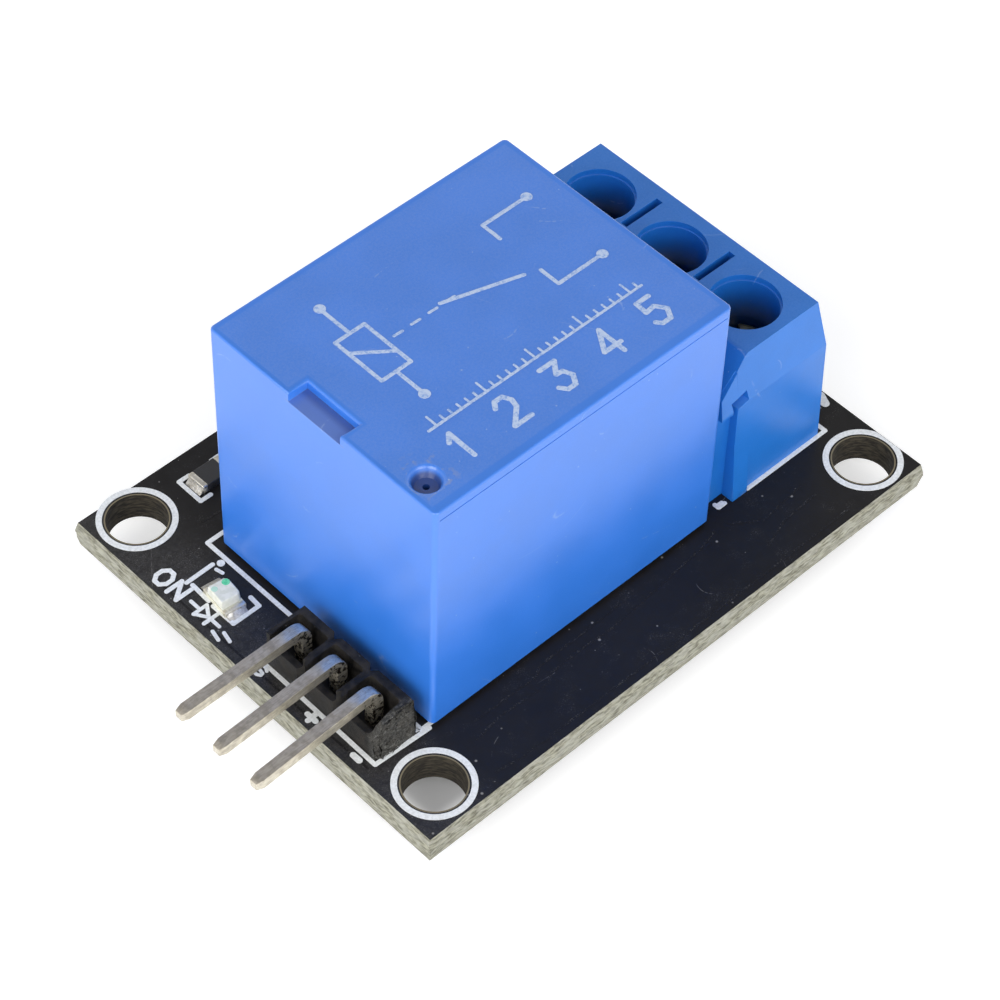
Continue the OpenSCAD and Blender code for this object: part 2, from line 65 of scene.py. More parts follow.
def calc(tree, operation, *terms, clamp=False):
    """the result of one math node"""
    made = add(tree, "Math", dict(enumerate(terms)), operation=operation, use_clamp=clamp)
    return made.outputs[0]


def product(tree, result, *factors):
    """the first term multiplied by all the others"""
    for factor in factors:
        result = calc(tree, "MULTIPLY", result, factor)
    return result


def past(tree, value, centre, half):
    """how far a value lies beyond either end of a span"""
    return calc(tree, "SUBTRACT", calc(tree, "ABSOLUTE", calc(tree, "SUBTRACT", value, centre)), half)


def parts(tree, kind="Object"):
    """the X, Y and Z of the place on the piece, or of its surface normal"""
    return add(tree, "SeparateXYZ", {0: add(tree, "TexCoord").outputs[kind]}).outputs


def mix(tree, amount, first, second):
    """a colour between two colours"""
    made = add(tree, "Mix", {0: amount, 6: first, 7: second}, data_type="RGBA")
    return made.outputs[2]


def ramp(tree, value, low, high, start=0.0, end=1.0):
    """a value carried smoothly from one range to another, and held at both ends"""
    sockets = {"Value": value, "From Min": low, "From Max": high, "To Min": start, "To Max": end}
    return add(tree, "MapRange", sockets, interpolation_type="SMOOTHSTEP").outputs[0]


scene.view_settings.view_transform = "Standard"
world = bpy.data.worlds.new("pale_surround")
scene.world = world
world.use_nodes = True
sky = world.node_tree
sky.nodes.clear()
direction = add(sky, "TexCoord").outputs["Generated"]
height = add(sky, "SeparateXYZ", {0: direction}).outputs["Z"]
rays = add(sky, "LightPath").outputs
soft = ramp(sky, height, 0.05, 0.5, 2.6, 0.36)
mirrored = ramp(sky, height, 0.3, 0.75, 1.0, 0.34)
level = add(sky, "Mix", {0: rays["Is Glossy Ray"], 2: soft, 3: mirrored}).outputs[0]
level = calc(sky, "MAXIMUM", level, calc(sky, "MAXIMUM", rays["Is Camera Ray"], rays["Is Transmission Ray"]))
surround = add(sky, "Background", {"Color": (1.0, 1.0, 1.0, 1.0), "Strength": level})
sky.links.new(surround.outputs[0], add(sky, "OutputWorld").inputs[0])

for name, place, size, power in (("soft_lamp_left", (-0.28, -0.06, 0.22), 0.24, 0.66),
                                 ("soft_lamp_near", (-0.06, -0.28, 0.22), 0.24, 0.5)):
    lamp = bpy.data.lights.new(name, "AREA")
    lamp.size, lamp.energy = size, power
    fitting = bpy.data.objects.new(name, lamp)
    scene.collection.objects.link(fitting)
    fitting.location = place
    fitting.rotation_euler = (-Vector(place)).to_track_quat("-Z", "Y").to_euler()

bpy.ops.object.select_all(action="DESELECT")
bpy.ops.mesh.primitive_circle_add(vertices=64, radius=0.9, fill_type="NGON", location=(0, 0, 0))
table = bpy.context.object
table.name = "table_top"
paint = bpy.data.materials.new("table_white")
paint.use_nodes = True
tree = paint.node_tree
tree.nodes.clear()
place = add(tree, "TexCoord").outputs["Object"]
mottle = add(tree, "TexNoise", {"Vector": place, "Scale": 30.0}).outputs["Fac"]
white = mix(tree, mottle, (0.87, 0.87, 0.87, 1), (0.89, 0.89, 0.89, 1))
# the table glows a little where it is seen, so that it meets the white behind it; the glow is left out under
# the board, which paints a shadow there
paths = add(tree, "LightPath").outputs
low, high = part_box("circuit_board")
x, y, z = parts(tree)
past_x = past(tree, x, (low.x + high.x) / 2, (high.x - low.x) / 2)
past_y = past(tree, y, (low.y + high.y) / 2, (high.y - low.y) / 2)
glow_outside_painted_shadow = ramp(tree, calc(tree, "MAXIMUM", past_x, past_y), -0.003, -0.0018)
seen = calc(tree, "MAXIMUM", paths["Is Camera Ray"], paths["Is Glossy Ray"])
shader = add(tree, "BsdfPrincipled", {"Base Color": white, "Roughness": 0.8, "Specular IOR Level": 0.2,
                                      "Emission Color": (1, 1, 1, 1),
                                      "Emission Strength": product(tree, seen, 0.38, glow_outside_painted_shadow)})
tree.links.new(shader.outputs[0], add(tree, "OutputMaterial").inputs[0])
table.data.materials.append(paint)

eye = bpy.data.objects.new("camera", bpy.data.cameras.new("camera"))
scene.collection.objects.link(eye)
scene.camera = eye
eye.location = (-0.073545, -0.075332, 0.129063)
eye.rotation_euler = tuple(math.radians(turn) for turn in (40.628, -1.129, -43.319))
eye.data.lens = 117.16
eye.data.shift_x, eye.data.shift_y = 0.0202, -0.0201
eye.data.clip_start, eye.data.clip_end = 0.005, 10.0


# ---- Circuit board -------------------------------------------------------------------------------
# Woven glass in epoxy under glossy black solder mask. It is scored along all four edges and snapped
# out of its panel, which leaves a rough band along each edge. The four screw holes are not plated.
mm = 0.001
low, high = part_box("circuit_board")
score = 0.16 * mm
corner = Vector((low.x + score, low.y + score, high.z))
length, width, thick = high.x - low.x - 2 * score, high.y - low.y - 2 * score, high.z - low.z


def spot(x, y, z=0.0):
    """a place in millimetres from the board's near top corner, in the row frame"""
    return corner + Vector((x, y, z)) * mm


def pick(kind, test):
    """select only those faces, edges or vertices of the mesh being edited that pass the test"""
    bpy.ops.mesh.select_mode(type=kind)
    bpy.ops.mesh.select_all(action="DESELECT")
    data = bpy.context.object.data
    mesh = bmesh.from_edit_mesh(data)
    for item in {"FACE": mesh.faces, "EDGE": mesh.edges, "VERT": mesh.verts}[kind]:
        if test(item):
            item.select_set(True)
    mesh.select_flush_mode()
    bmesh.update_edit_mesh(data)


def middle(item):
    """the middle of an edge or a face"""
    return sum((v.co for v in item.verts), Vector()) / len(item.verts)


def box(name, first, last):
    """start a piece as a block between two corners"""
    bpy.ops.object.select_all(action="DESELECT")
    first, last = Vector(first), Vector(last)
    bpy.ops.mesh.primitive_cube_add(size=1, location=(first + last) / 2, scale=last - first)
    piece = bpy.context.object
    piece.name = piece.data.name = name
    return settle(piece)


def settle(piece):
    """put the piece's object at the origin, unturned, with its place in its mesh"""
    bpy.ops.object.select_all(action="DESELECT")
    piece.select_set(True)
    bpy.context.view_layer.objects.active = piece
    bpy.ops.object.transform_apply(location=True, rotation=True, scale=True)
    return piece


def rod(name, place, radius, tall, sides=48, top=None, turn=(0, 0, 0)):
    """start a round piece that stands on a place"""
    bpy.ops.object.select_all(action="DESELECT")
    up = Vector((0, 0, tall / 2))
    bpy.ops.mesh.primitive_cone_add(vertices=sides, radius1=radius, radius2=radius if top is None else top,
                                    depth=tall, location=Vector(place) + up, rotation=turn)
    piece = bpy.context.object
    piece.name = piece.data.name = name
    return settle(piece)


def finish_with(piece, kind, **settings):
    """apply one modifier to the piece"""
    bpy.ops.object.select_all(action="DESELECT")
    piece.select_set(True)
    bpy.context.view_layer.objects.active = piece
    modifier = piece.modifiers.new(kind.lower(), kind)
    for key, value in settings.items():
        setattr(modifier, key, value)
    bpy.ops.object.modifier_apply(modifier=modifier.name)


def carve(piece, *tools, way="DIFFERENCE"):
    """cut the tools out of the piece, or weld them to it"""
    for tool in tools:
        finish_with(piece, "BOOLEAN", operation=way, object=tool, solver="EXACT")
        bpy.data.objects.remove(tool)


def round_off(piece, size, steps=2, sharper_than=30):
    """round the piece's sharp edges and shade its curves smoothly"""
    finish_with(piece, "BEVEL", width=size, segments=steps, limit_method="ANGLE",
                angle_limit=math.radians(sharper_than), use_clamp_overlap=True)
    bpy.ops.object.shade_smooth_by_angle(angle=math.radians(35))
    finish_with(piece, "WEIGHTED_NORMAL", keep_sharp=True)


def fit(piece, body, slot, material, *stands_for):
    """give the piece its material and say what it rides on and stands for"""
    piece.data.materials.clear()
    piece.data.materials.append(material)
    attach(piece, body)
    if stands_for:
        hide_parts(*stands_for)


board = box("board", spot(0, 0, 0) - Vector((0, 0, thick)), spot(0, 0) + Vector((length, width, 0)))
bpy.ops.object.mode_set(mode="EDIT")
for share in (0.36, 0.5, 0.64):
    pick("FACE", lambda f: abs(f.normal.z) < 0.5)
    bpy.ops.mesh.bisect(plane_co=corner - Vector((0, 0, thick * share)), plane_no=(0, 0, 1))
tooth = 0.4
for count in range(1, 86):
    pick("FACE", lambda f: abs(f.normal.y) > 0.5)
    bpy.ops.mesh.bisect(plane_co=spot(count * tooth, 0), plane_no=(1, 0, 0))
for count in range(1, 65):
    pick("FACE", lambda f: abs(f.normal.x) > 0.5)
    bpy.ops.mesh.bisect(plane_co=spot(0, count * tooth), plane_no=(0, 1, 0))
pick("VERT", lambda v: -0.66 * thick < v.co.z - corner.z < -0.34 * thick)
bpy.ops.transform.resize(value=(1 + 1.5 * score / length, 1 + 1.5 * score / width, 1),
                         center_override=spot(0, 0) + Vector((length, width, 0)) / 2)
bpy.ops.transform.vertex_random(offset=0.045 * mm, uniform=0.9, normal=0.0, seed=3)
bpy.ops.object.mode_set(mode="OBJECT")
screw_holes = [(2.33, 2.22), (32.33, 2.22), (2.33, 24.22), (32.33, 24.22)]
hole_radius = 1.6 * mm
for x, y in screw_holes:
    carve(board, rod("drill", spot(x, y, -2.5), hole_radius, 3.5 * mm, sides=96))
bpy.ops.object.shade_smooth_by_angle(angle=math.radians(25))


def group(name, inputs, outputs):
    """an empty shader node group with named sockets"""
    tree = bpy.data.node_groups.new(name, "ShaderNodeTree")
    for label, value in inputs.items():
        socket = tree.interface.new_socket(name=label, in_out="INPUT", socket_type="NodeSocketFloat")
        socket.default_value = value
    for label in outputs:
        tree.interface.new_socket(name=label, in_out="OUTPUT", socket_type="NodeSocketFloat")
    return tree, tree.nodes.new("NodeGroupInput").outputs, tree.nodes.new("NodeGroupOutput").inputs


# specks of dust: one round grain in some of the cells of a fine grid
dust, given, result = group("dust", {"Cell": 0.4 * mm, "Share": 0.2, "Grain": 0.16}, ["Mask"])
place = add(dust, "TexCoord").outputs["Object"]
cells = add(dust, "TexVoronoi", {"Vector": place, "Scale": calc(dust, "DIVIDE", 1.0, given["Cell"]),
                                 "Randomness": 1.0}).outputs
lot = add(dust, "SeparateColor", {0: cells["Color"]}).outputs
chosen = calc(dust, "LESS_THAN", lot[0], given["Share"])
grain = product(dust, given["Grain"], calc(dust, "ADD", 0.4, product(dust, lot[1], lot[2])))
near = calc(dust, "SUBTRACT", 1.0, calc(dust, "DIVIDE", cells["Distance"], grain), clamp=True)
dust.links.new(product(dust, chosen, calc(dust, "POWER", near, 0.6)), result["Mask"])

# scuffs: short curved marks, one in some of the cells of a grid, each turned its own way
scuffs, given, result = group("scuffs", {"Cell": 3 * mm, "Length": 1.2 * mm, "Thickness": 0.03 * mm,
                                         "Share": 0.4}, ["Mask"])
place = add(scuffs, "TexCoord").outputs["Object"]
fineness = calc(scuffs, "DIVIDE", 1.0, given["Cell"])
cells = add(scuffs, "TexVoronoi", {"Vector": place, "Scale": fineness}).outputs
from_middle = add(scuffs, "VectorMath", {0: place, 1: cells["Position"]}, operation="SUBTRACT").outputs[0]
angles = add(scuffs, "VectorMath", {0: cells["Color"], "Scale": 6.3}, operation="SCALE").outputs[0]
turned = add(scuffs, "VectorRotate", {"Vector": from_middle, "Rotation": angles}, rotation_type="EULER_XYZ")
along, across, deep = add(scuffs, "SeparateXYZ", {0: turned.outputs[0]}).outputs
along = calc(scuffs, "DIVIDE", along, given["Length"])
sway = product(scuffs, along, along, given["Length"], 0.7)
off = calc(scuffs, "ABSOLUTE", calc(scuffs, "ADD", across, sway))
line = calc(scuffs, "SUBTRACT", 1.0, calc(scuffs, "DIVIDE", off, given["Thickness"]), clamp=True)
ends = ramp(scuffs, calc(scuffs, "ABSOLUTE", along), 0.5, 0.3)
lot = add(scuffs, "SeparateColor", {0: cells["Color"]}).outputs
kept = calc(scuffs, "LESS_THAN", lot[2], given["Share"])
worn = add(scuffs, "TexNoise", {"Vector": place, "Scale": calc(scuffs, "DIVIDE", 4.0, given["Length"]),
                                "Detail": 3.0})
broken = ramp(scuffs, worn.outputs["Fac"], 0.4, 0.55)
scuffs.links.new(product(scuffs, line, ends, kept, broken), result["Mask"])


def material(name, **fixed):
    """a new material with its Principled shader, whose even values are set on its own sockets"""
    made = bpy.data.materials.new(name)
    made.use_nodes = True
    tree = made.node_tree
    tree.nodes.clear()
    shader = add(tree, "BsdfPrincipled", {key.replace("_", " "): value for key, value in fixed.items()})
    tree.links.new(shader.outputs[0], add(tree, "OutputMaterial").inputs[0])
    return made, tree, shader.inputs


def use(tree, effect, **values):
    """the outputs of a node group placed in a material with its own values"""
    return add(tree, "Group", values, node_tree=effect).outputs


def noise(tree, size, detail=3.0, rough=0.5, stretch=(1, 1, 1), turn=(0, 0, 0)):
    """a noise with grains of about that size, stretched along the piece's own axes"""
    place = add(tree, "TexCoord").outputs["Object"]
    scale = [1 / (size * share) for share in stretch]
    laid = add(tree, "Mapping", {"Vector": place, "Rotation": turn, "Scale": scale})
    sockets = {"Vector": laid.outputs[0], "Scale": 1.0, "Detail": detail, "Roughness": rough}
    return add(tree, "TexNoise", sockets).outputs["Fac"]


def from_axis(tree, x, y, centre):
    """how far a place lies from an upright axis through the centre"""
    off_x, off_y = calc(tree, "SUBTRACT", x, centre[0]), calc(tree, "SUBTRACT", y, centre[1])
    flat = add(tree, "CombineXYZ", {0: off_x, 1: off_y})
    return add(tree, "VectorMath", {0: flat.outputs[0]}, operation="LENGTH").outputs["Value"]


def coat(tree, shader, colour, rough, height=None, depth=0.0):
    """feed the shader its colour and roughness, and tilt its surface by a height pattern that is so deep"""
    tree.links.new(colour, shader["Base Color"])
    tree.links.new(rough, shader["Roughness"])
    if height:
        tilt = add(tree, "Bump", {"Strength": 1.0, "Distance": depth, "Height": height})
        tree.links.new(tilt.outputs[0], shader["Normal"])


mask_black, tree, shader = material("solder_mask", IOR=1.45, Specular_IOR_Level=0.3)
x, y, z = parts(tree)
flat = calc(tree, "GREATER_THAN", calc(tree, "ABSOLUTE", parts(tree, "Normal")["Z"]), 0.8)
centre = spot(17.33, 13.22)
away = from_axis(tree, past(tree, x, centre.x, 15 * mm), past(tree, y, centre.y, 11 * mm), (0, 0))
coated = product(tree, flat, calc(tree, "GREATER_THAN", away, hole_radius + 0.075 * mm))
bare = calc(tree, "SUBTRACT", 1.0, coated)
tone = noise(tree, 3.5 * mm, 4)
black = mix(tree, tone, (0.0095, 0.0085, 0.0092, 1), (0.0145, 0.0135, 0.0135, 1))
# dust lies in specks, fluff and hairs and is smeared in places; towards the header and the light the black is
# painted paler, partly dust and partly a painted sheen
specks = use(tree, dust, Cell=0.55 * mm, Share=0.2, Grain=0.13)["Mask"]
fluff = use(tree, dust, Cell=0.22 * mm, Share=0.4, Grain=0.2)["Mask"]
hairs = use(tree, scuffs, Cell=2.4 * mm, Length=1.1 * mm, Thickness=0.022 * mm, Share=0.3)["Mask"]
dust_and_sheen_by_header = ramp(tree, x, spot(5, 0).x, spot(1.5, 0).x)
smear = ramp(tree, calc(tree, "ADD", noise(tree, 1.6 * mm, 5, 0.65), product(tree, dust_and_sheen_by_header, 0.14)), 0.5, 0.74)
dust_and_sheen_film = product(tree, dust_and_sheen_by_header, ramp(tree, noise(tree, 0.2 * mm, 4, 0.7), 0.3, 0.7, 0.02, 0.066))
powder = product(tree, ramp(tree, noise(tree, 0.07 * mm, 3, 0.7), 0.5, 0.72), smear, 0.16)
wear = calc(tree, "MAXIMUM", product(tree, specks, 0.7), product(tree, hairs, 0.3))
wear = calc(tree, "MAXIMUM", wear, product(tree, fluff, smear, 0.55))
wear = calc(tree, "ADD", dust_and_sheen_film, calc(tree, "MAXIMUM", wear, powder))
black = mix(tree, wear, black, (0.42, 0.41, 0.40, 1))
# the cut edges are straw coloured with paler bundles of glass, and the drilled walls are painted near black as
# painted shade inside the holes
fibre = noise(tree, 0.16 * mm, 3, 0.6, stretch=(3.4, 3.4, 0.8))
bundle = noise(tree, 0.5 * mm, 2, 0.5, stretch=(1.5, 1.5, 0.45))
hole = calc(tree, "LESS_THAN", away, hole_radius + 0.1 * mm)
straw = mix(tree, ramp(tree, fibre, 0.32, 0.68), (0.12, 0.115, 0.085, 1), (0.36, 0.355, 0.28, 1))
straw = mix(tree, product(tree, ramp(tree, bundle, 0.42, 0.62), 0.45), straw, (0.42, 0.42, 0.37, 1))
hole_wall_painted_shade = mix(tree, ramp(tree, fibre, 0.35, 0.7), (0.014, 0.012, 0.009, 1), (0.06, 0.05, 0.034, 1))
laminate = mix(tree, hole, straw, hole_wall_painted_shade)
laminate = mix(tree, product(tree, flat, hole), laminate, (0.2, 0.17, 0.11, 1))
gloss = ramp(tree, noise(tree, 0.5 * mm, 4), 0.3, 0.7, 0.3, 0.45)
rough = calc(tree, "ADD", product(tree, coated, gloss), product(tree, bare, 0.75))
rough = calc(tree, "ADD", rough, product(tree, wear, 0.3))
peel = product(tree, noise(tree, 0.12 * mm, 2), 0.1)
relief = calc(tree, "ADD", product(tree, coated, peel), product(tree, bare, fibre))
coat(tree, shader, mix(tree, coated, laminate, black), rough, relief, 0.04 * mm)
fit(board, "board", "solder_mask_board", mask_black, "circuit_board")


# ---- Copper tracks -------------------------------------------------------------------------------
# Etched copper 35 microns thick under the solder mask. It shows as low soft ridges, and the wide
# area along the near edge stops half a millimetre short of the cut.
def pen(piece, points, breadth, lift=0.0):
    """draw one stroke through the points as flat strips with round ends, on the mesh being edited"""
    for first, last in zip(points, points[1:]):
        rise = lift + len(bmesh.from_edit_mesh(piece.data).faces) % 41 * 0.0004
        start, end = spot(first[0], first[1], rise), spot(last[0], last[1], rise)
        bpy.ops.mesh.primitive_circle_add(vertices=16, radius=breadth * mm / 2, fill_type="NGON",
                                          location=start)
        mesh = bmesh.from_edit_mesh(piece.data)
        mesh.verts.ensure_lookup_table()
        drawn = mesh.verts[-16:]
        bpy.ops.mesh.select_all(action="DESELECT")
        for vertex in drawn:
            if (vertex.co - start).dot(end - start) > 0:
                vertex.select_set(True)
        mesh.select_flush_mode()
        bmesh.update_edit_mesh(piece.data)
        if first != last:
            bpy.ops.transform.translate(value=end - start)


def sheet_of_ink(name):
    """an empty mesh, open for the pen"""
    bpy.ops.object.select_all(action="DESELECT")
    bpy.ops.mesh.primitive_plane_add(size=0.001)
    piece = bpy.context.object
    piece.name = piece.data.name = name
    bpy.ops.object.mode_set(mode="EDIT")
    bpy.ops.mesh.select_all(action="SELECT")
    bpy.ops.mesh.delete(type="VERT")
    bpy.ops.mesh.select_mode(type="VERT")
    return piece


def dry(piece, thick):
    """give the strokes their thickness and close them"""
    bpy.ops.object.mode_set(mode="OBJECT")
    settle(piece)
    finish_with(piece, "SOLIDIFY", thickness=thick * mm, offset=1.0)


tracks = sheet_of_ink("copper_tracks")
for course in ([(5.6, 2.75), (7.25, 3.0), (10.46, 2.86), (11.03, 3.23), (12.97, 3.27), (15.24, 3.16),
                (17.9, 3.4), (22, 3.75), (23.3, 4.1)],
               [(5.0, 0.75), (6.2, 0.55), (10.3, 0.5), (20.2, 0.46), (29.2, 0.5)],
               [(6.3, 3.6), (10.2, 3.55), (10.9, 3.9), (16.5, 3.95)],
               [(24.6, 1.6), (26.4, 2.2), (28.8, 2.3)], [(24.2, 3.9), (25.6, 2.9), (28.6, 3.2)],
               [(0.6, 5.0), (0.52, 11.5), (0.55, 20.6)], [(4.6, 21.9), (8.8, 21.6), (13.2, 21.7)]):
    pen(tracks, course, 0.13)
dry(tracks, 0.007)
ridge, tree, shader = material("mask_ridge", IOR=1.45, Specular_IOR_Level=0.3)
# pale flecks along the ridges: partly dust, partly a painted highlight where the ridges catch the light
crumbs = ramp(tree, noise(tree, 0.09 * mm, 4, 0.75), 0.52, 0.7)
patchy = ramp(tree, noise(tree, 1.1 * mm, 3), 0.42, 0.62)
ridge_dust_and_highlight = mix(tree, product(tree, crumbs, patchy, 0.5), (0.0115, 0.0105, 0.011, 1), (0.22, 0.22, 0.21, 1))
coat(tree, shader, ridge_dust_and_highlight, ramp(tree, crumbs, 0.0, 1.0, 0.4, 0.7), crumbs, 0.01 * mm)
fit(tracks, "board", "solder_mask_board", ridge)


# ---- Printed legend ------------------------------------------------------------------------------
# White epoxy ink screened on the mask: rings round the holes, outlines of the parts, and the plus,
# minus, signal and light marks. It is slightly uneven, with soft corners from the pen width.
legend = sheet_of_ink("printed_legend")
bar = 0.25
for outline in ([(18.6, 4.95), (4.0, 4.95), (3.94, 20.65), (22.9, 20.65), (22.9, 20.3)],
                [(4.35, 4.76), (1.0, 4.91), (1.08, 13.33), (3.78, 13.33)],
                [(26.5, 4.9), (32.35, 4.9), (32.35, 21.15), (25.2, 21.15)],
                [(24.5, 5.25), (24.5, 5.0), (24.95, 5.0)], [(24.6, 5.12), (24.85, 5.12)],
                [(1.54, 17.37), (1.56, 15.87), (3.21, 15.87), (3.25, 16.55)], [(1.52, 19.39), (3.22, 19.41)],
                [(1.64, 19.07), (1.59, 17.78)]):
    pen(legend, outline, bar)
pen(legend, [(33.75, 6.2), (33.98, 6.75)], 0.5)
pen(legend, [(3.15, 19.05), (3.23, 18.66)], 0.2)
pen(legend, [(3.58, 19.2), (3.581, 19.2)], 0.42)
for x in (6.85, 11.6):
    for side in (-1, 1):
        inner, outer = x + side * 0.75, x + side * 1.4
        pen(legend, [(inner, 22.96), (outer, 22.96), (outer, 24.68), (inner, 24.68)], bar)
for x in (14.4, 18.2):
    pen(legend, [(x, 22.4), (x, 25.0)], 0.2)
for y in (22.51, 25.09):
    pen(legend, [(19.7, y), (24.3, y)], 0.18)
# minus and plus signs and a letter S beside the pins, the name and sign of the light, and a corner mark
pen(legend, [(0.6, 5.6), (0.6, 6.02)], 0.34)
pen(legend, [(0.6, 8.72), (0.6, 9.3)], 0.3)
pen(legend, [(0.36, 9.0), (0.9, 9.02)], 0.3)
for slant in (0.0, 0.09, 0.18, 0.27):
    pen(legend, [(3.75 + slant, 5.05), (3.7 + slant, 5.75 - 2 * slant)], 0.16)
pen(legend, [(0.93, 18.35), (0.93, 17.75)], 0.2)
pen(legend, [(0.5, 17.65), (1.36, 17.65), (0.93, 17.0), (0.5, 17.65)], 0.2)
pen(legend, [(0.5, 16.85), (1.36, 16.85)], 0.22)
pen(legend, [(0.93, 16.8), (0.93, 16.2)], 0.2)
pen(legend, [(0.5, 16.2), (0.36, 15.6)], 0.2)
pen(legend, [(0.85, 15.75), (0.71, 15.15)], 0.2)
letters = {
    "S": [[(0.95, 0.82), (0.7, 1), (0.3, 1), (0.05, 0.8), (0.1, 0.6), (0.9, 0.42), (0.95, 0.2), (0.7, 0),
           (0.3, 0), (0.05, 0.18)]],
    "O": [[(0.3, 0), (0.7, 0), (1, 0.3), (1, 0.7), (0.7, 1), (0.3, 1), (0, 0.7), (0, 0.3), (0.3, 0)]],
    "N": [[(0, 0), (0, 1), (1, 0), (1, 1)]],
    "1": [[(0.2, 0.75), (0.55, 1), (0.55, 0)]],
    "2": [[(0.05, 0.8), (0.3, 1), (0.75, 1), (0.95, 0.75), (0.85, 0.5), (0, 0), (1, 0)]],
    "3": [[(0.05, 1), (0.95, 1), (0.45, 0.6), (0.8, 0.58), (1, 0.3), (0.7, 0), (0.25, 0), (0, 0.2)]],
    "4": [[(0.75, 0), (0.75, 1), (0, 0.3), (1, 0.3)]],
    "5": [[(0.9, 1), (0.15, 1), (0.1, 0.58), (0.65, 0.62), (1, 0.32), (0.7, 0), (0.2, 0), (0, 0.15)]],
}


def write(piece, sign, x, y, wide, tall, breadth, turned=False, lift=0.0):
    """draw a sign with its foot at x, y, upright along Y or turned to read down the -Y way"""
    for course in letters[sign]:
        points = [(x + v * tall, y - u * wide) if turned else (x + u * wide, y + v * tall) for u, v in course]
        pen(piece, points, breadth, lift)


write(legend, "S", 0.36, 13.25, 0.72, 0.6, 0.18, turned=True)
write(legend, "O", 0.43, 20.78, 0.78, 0.98, 0.25, turned=True)
write(legend, "N", 0.43, 19.62, 0.72, 0.98, 0.25, turned=True)
dry(legend, 0.028)
for x, y in screw_holes:
    ring = rod("ring", spot(x, y, 0.001), 2.085 * mm, 0.028 * mm, sides=96)
    carve(ring, rod("inside", spot(x, y, -1), 1.765 * mm, 2 * mm, sides=96))
    carve(ring, box("cut_edge", spot(34.26, 0, -1), spot(36, 8, 1)))
    bpy.ops.object.select_all(action="DESELECT")
    ring.select_set(True)
    legend.select_set(True)
    bpy.context.view_layer.objects.active = legend
    bpy.ops.object.join()
ink, tree, shader = material("legend_ink", IOR=1.45)
uneven = noise(tree, 0.14 * mm, 4, 0.6)
white = mix(tree, ramp(tree, uneven, 0.3, 0.7), (0.68, 0.70, 0.70, 1), (0.84, 0.86, 0.87, 1))
missed = ramp(tree, noise(tree, 0.1 * mm, 5, 0.7), 0.66, 0.74)
white = mix(tree, product(tree, missed, 0.6), white, (0.16, 0.16, 0.17, 1))
coat(tree, shader, white, ramp(tree, uneven, 0.2, 0.8, 0.45, 0.65), uneven, 0.008 * mm)
fit(legend, "board", "white_ink", ink, "silkscreen")


# ---- Header spacer -------------------------------------------------------------------------------
# Black glass-filled nylon, cut from a long strip: the snapped end is torn and pale with fibres. Each
# pin stands in a shallow dished recess, and ribs between the pins mark where the strip snaps.
low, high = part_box("header_spacer")
rows = [6.52, 9.06, 11.6]
spacer = box("header_spacer_body", low, high)
bpy.ops.object.mode_set(mode="EDIT")
for y in (7.83, 10.4):
    for side in (-0.3, 0, 0.3):
        bpy.ops.mesh.select_all(action="SELECT")
        bpy.ops.mesh.bisect(plane_co=spot(0, y + side), plane_no=(0, 1, 0))
    pick("VERT", lambda v: abs(v.co.y - spot(0, y).y) < 0.01 * mm)
    bpy.ops.transform.resize(value=(0.74, 1, 1), center_override=((low.x + high.x) / 2, spot(0, y).y, 0))
bpy.ops.object.mode_set(mode="OBJECT")
# a deep pocket round each pin, with a low front wall under the pin
for index, y in enumerate(rows):
    pocket = box("pocket", spot(1.55, y - 1.06, 0.75), spot(3.16, y + 1.08, 3))
    finish_with(pocket, "BEVEL", width=0.2 * mm, segments=3, limit_method="ANGLE")
    mouth = box("mouth", spot(0.9, y - 1.0 - 0.06 * index, 1.5 + 0.12 * index), spot(1.9, y + 1.02, 3))
    finish_with(mouth, "BEVEL", width=0.25 * mm, segments=3, limit_method="ANGLE")
    carve(spacer, pocket, mouth)
# the snapped end: broken away at its front, jagged along its top, and spread a little at its foot
for turn, place, bite in (((0, -52, 0), (1.12, 5.2, 1.35), 0.6), ((0, -20, 14), (1.9, 5.05, 2.2), 0.45),
                          ((34, 12, -20), (2.7, 5.0, 2.38), 0.45)):
    chip = box("chip", (-2 * mm, -1 * mm, 0), (2 * mm, bite * mm, 2 * mm))
    chip.rotation_euler = [math.radians(angle) for angle in turn]
    chip.location = spot(*place)
    settle(chip)
    carve(spacer, chip)
chip = box("chip", (-1 * mm, -1 * mm, -2 * mm), (1 * mm, 0, 4 * mm))
chip.rotation_euler.z = math.radians(-38)
chip.location = spot(1.1, 5.3, 0)
settle(chip)
carve(spacer, chip)
finish_with(spacer, "BEVEL", width=0.07 * mm, segments=2, limit_method="ANGLE", angle_limit=math.radians(28))
bpy.ops.object.mode_set(mode="EDIT")
pick("VERT", lambda v: v.co.y < low.y + 0.5 * mm and v.co.z < low.z + 0.3 * mm)
bpy.ops.transform.translate(value=(0, -0.16 * mm, 0))
pick("FACE", lambda f: middle(f).y < low.y + 0.55 * mm and f.normal.y < -0.3)
bpy.ops.mesh.quads_convert_to_tris()
for _ in range(5):
    pick("EDGE", lambda e: all(v.co.y < low.y + 0.6 * mm for v in e.verts) and e.calc_length() > 0.16 * mm)
    bpy.ops.mesh.subdivide(number_cuts=1)
for share, size, seed in ((3, 0.2, 5), (1, 0.08, 8)):
    pick("VERT", lambda v: v.co.y < low.y + 0.42 * mm and v.index % share == 0)
    bpy.ops.transform.vertex_random(offset=size * mm, uniform=0.2, normal=0.0, seed=seed)
pick("VERT", lambda v: v.co.y < low.y + 0.42 * mm)
bpy.ops.mesh.vertices_smooth(factor=0.35)
bpy.ops.transform.translate(value=(0, 0.07 * mm, 0))
bpy.ops.object.mode_set(mode="OBJECT")
bpy.ops.object.shade_smooth_by_angle(angle=math.radians(32))
nylon, tree, shader = material("spacer_nylon", IOR=1.5, Specular_IOR_Level=0.22)
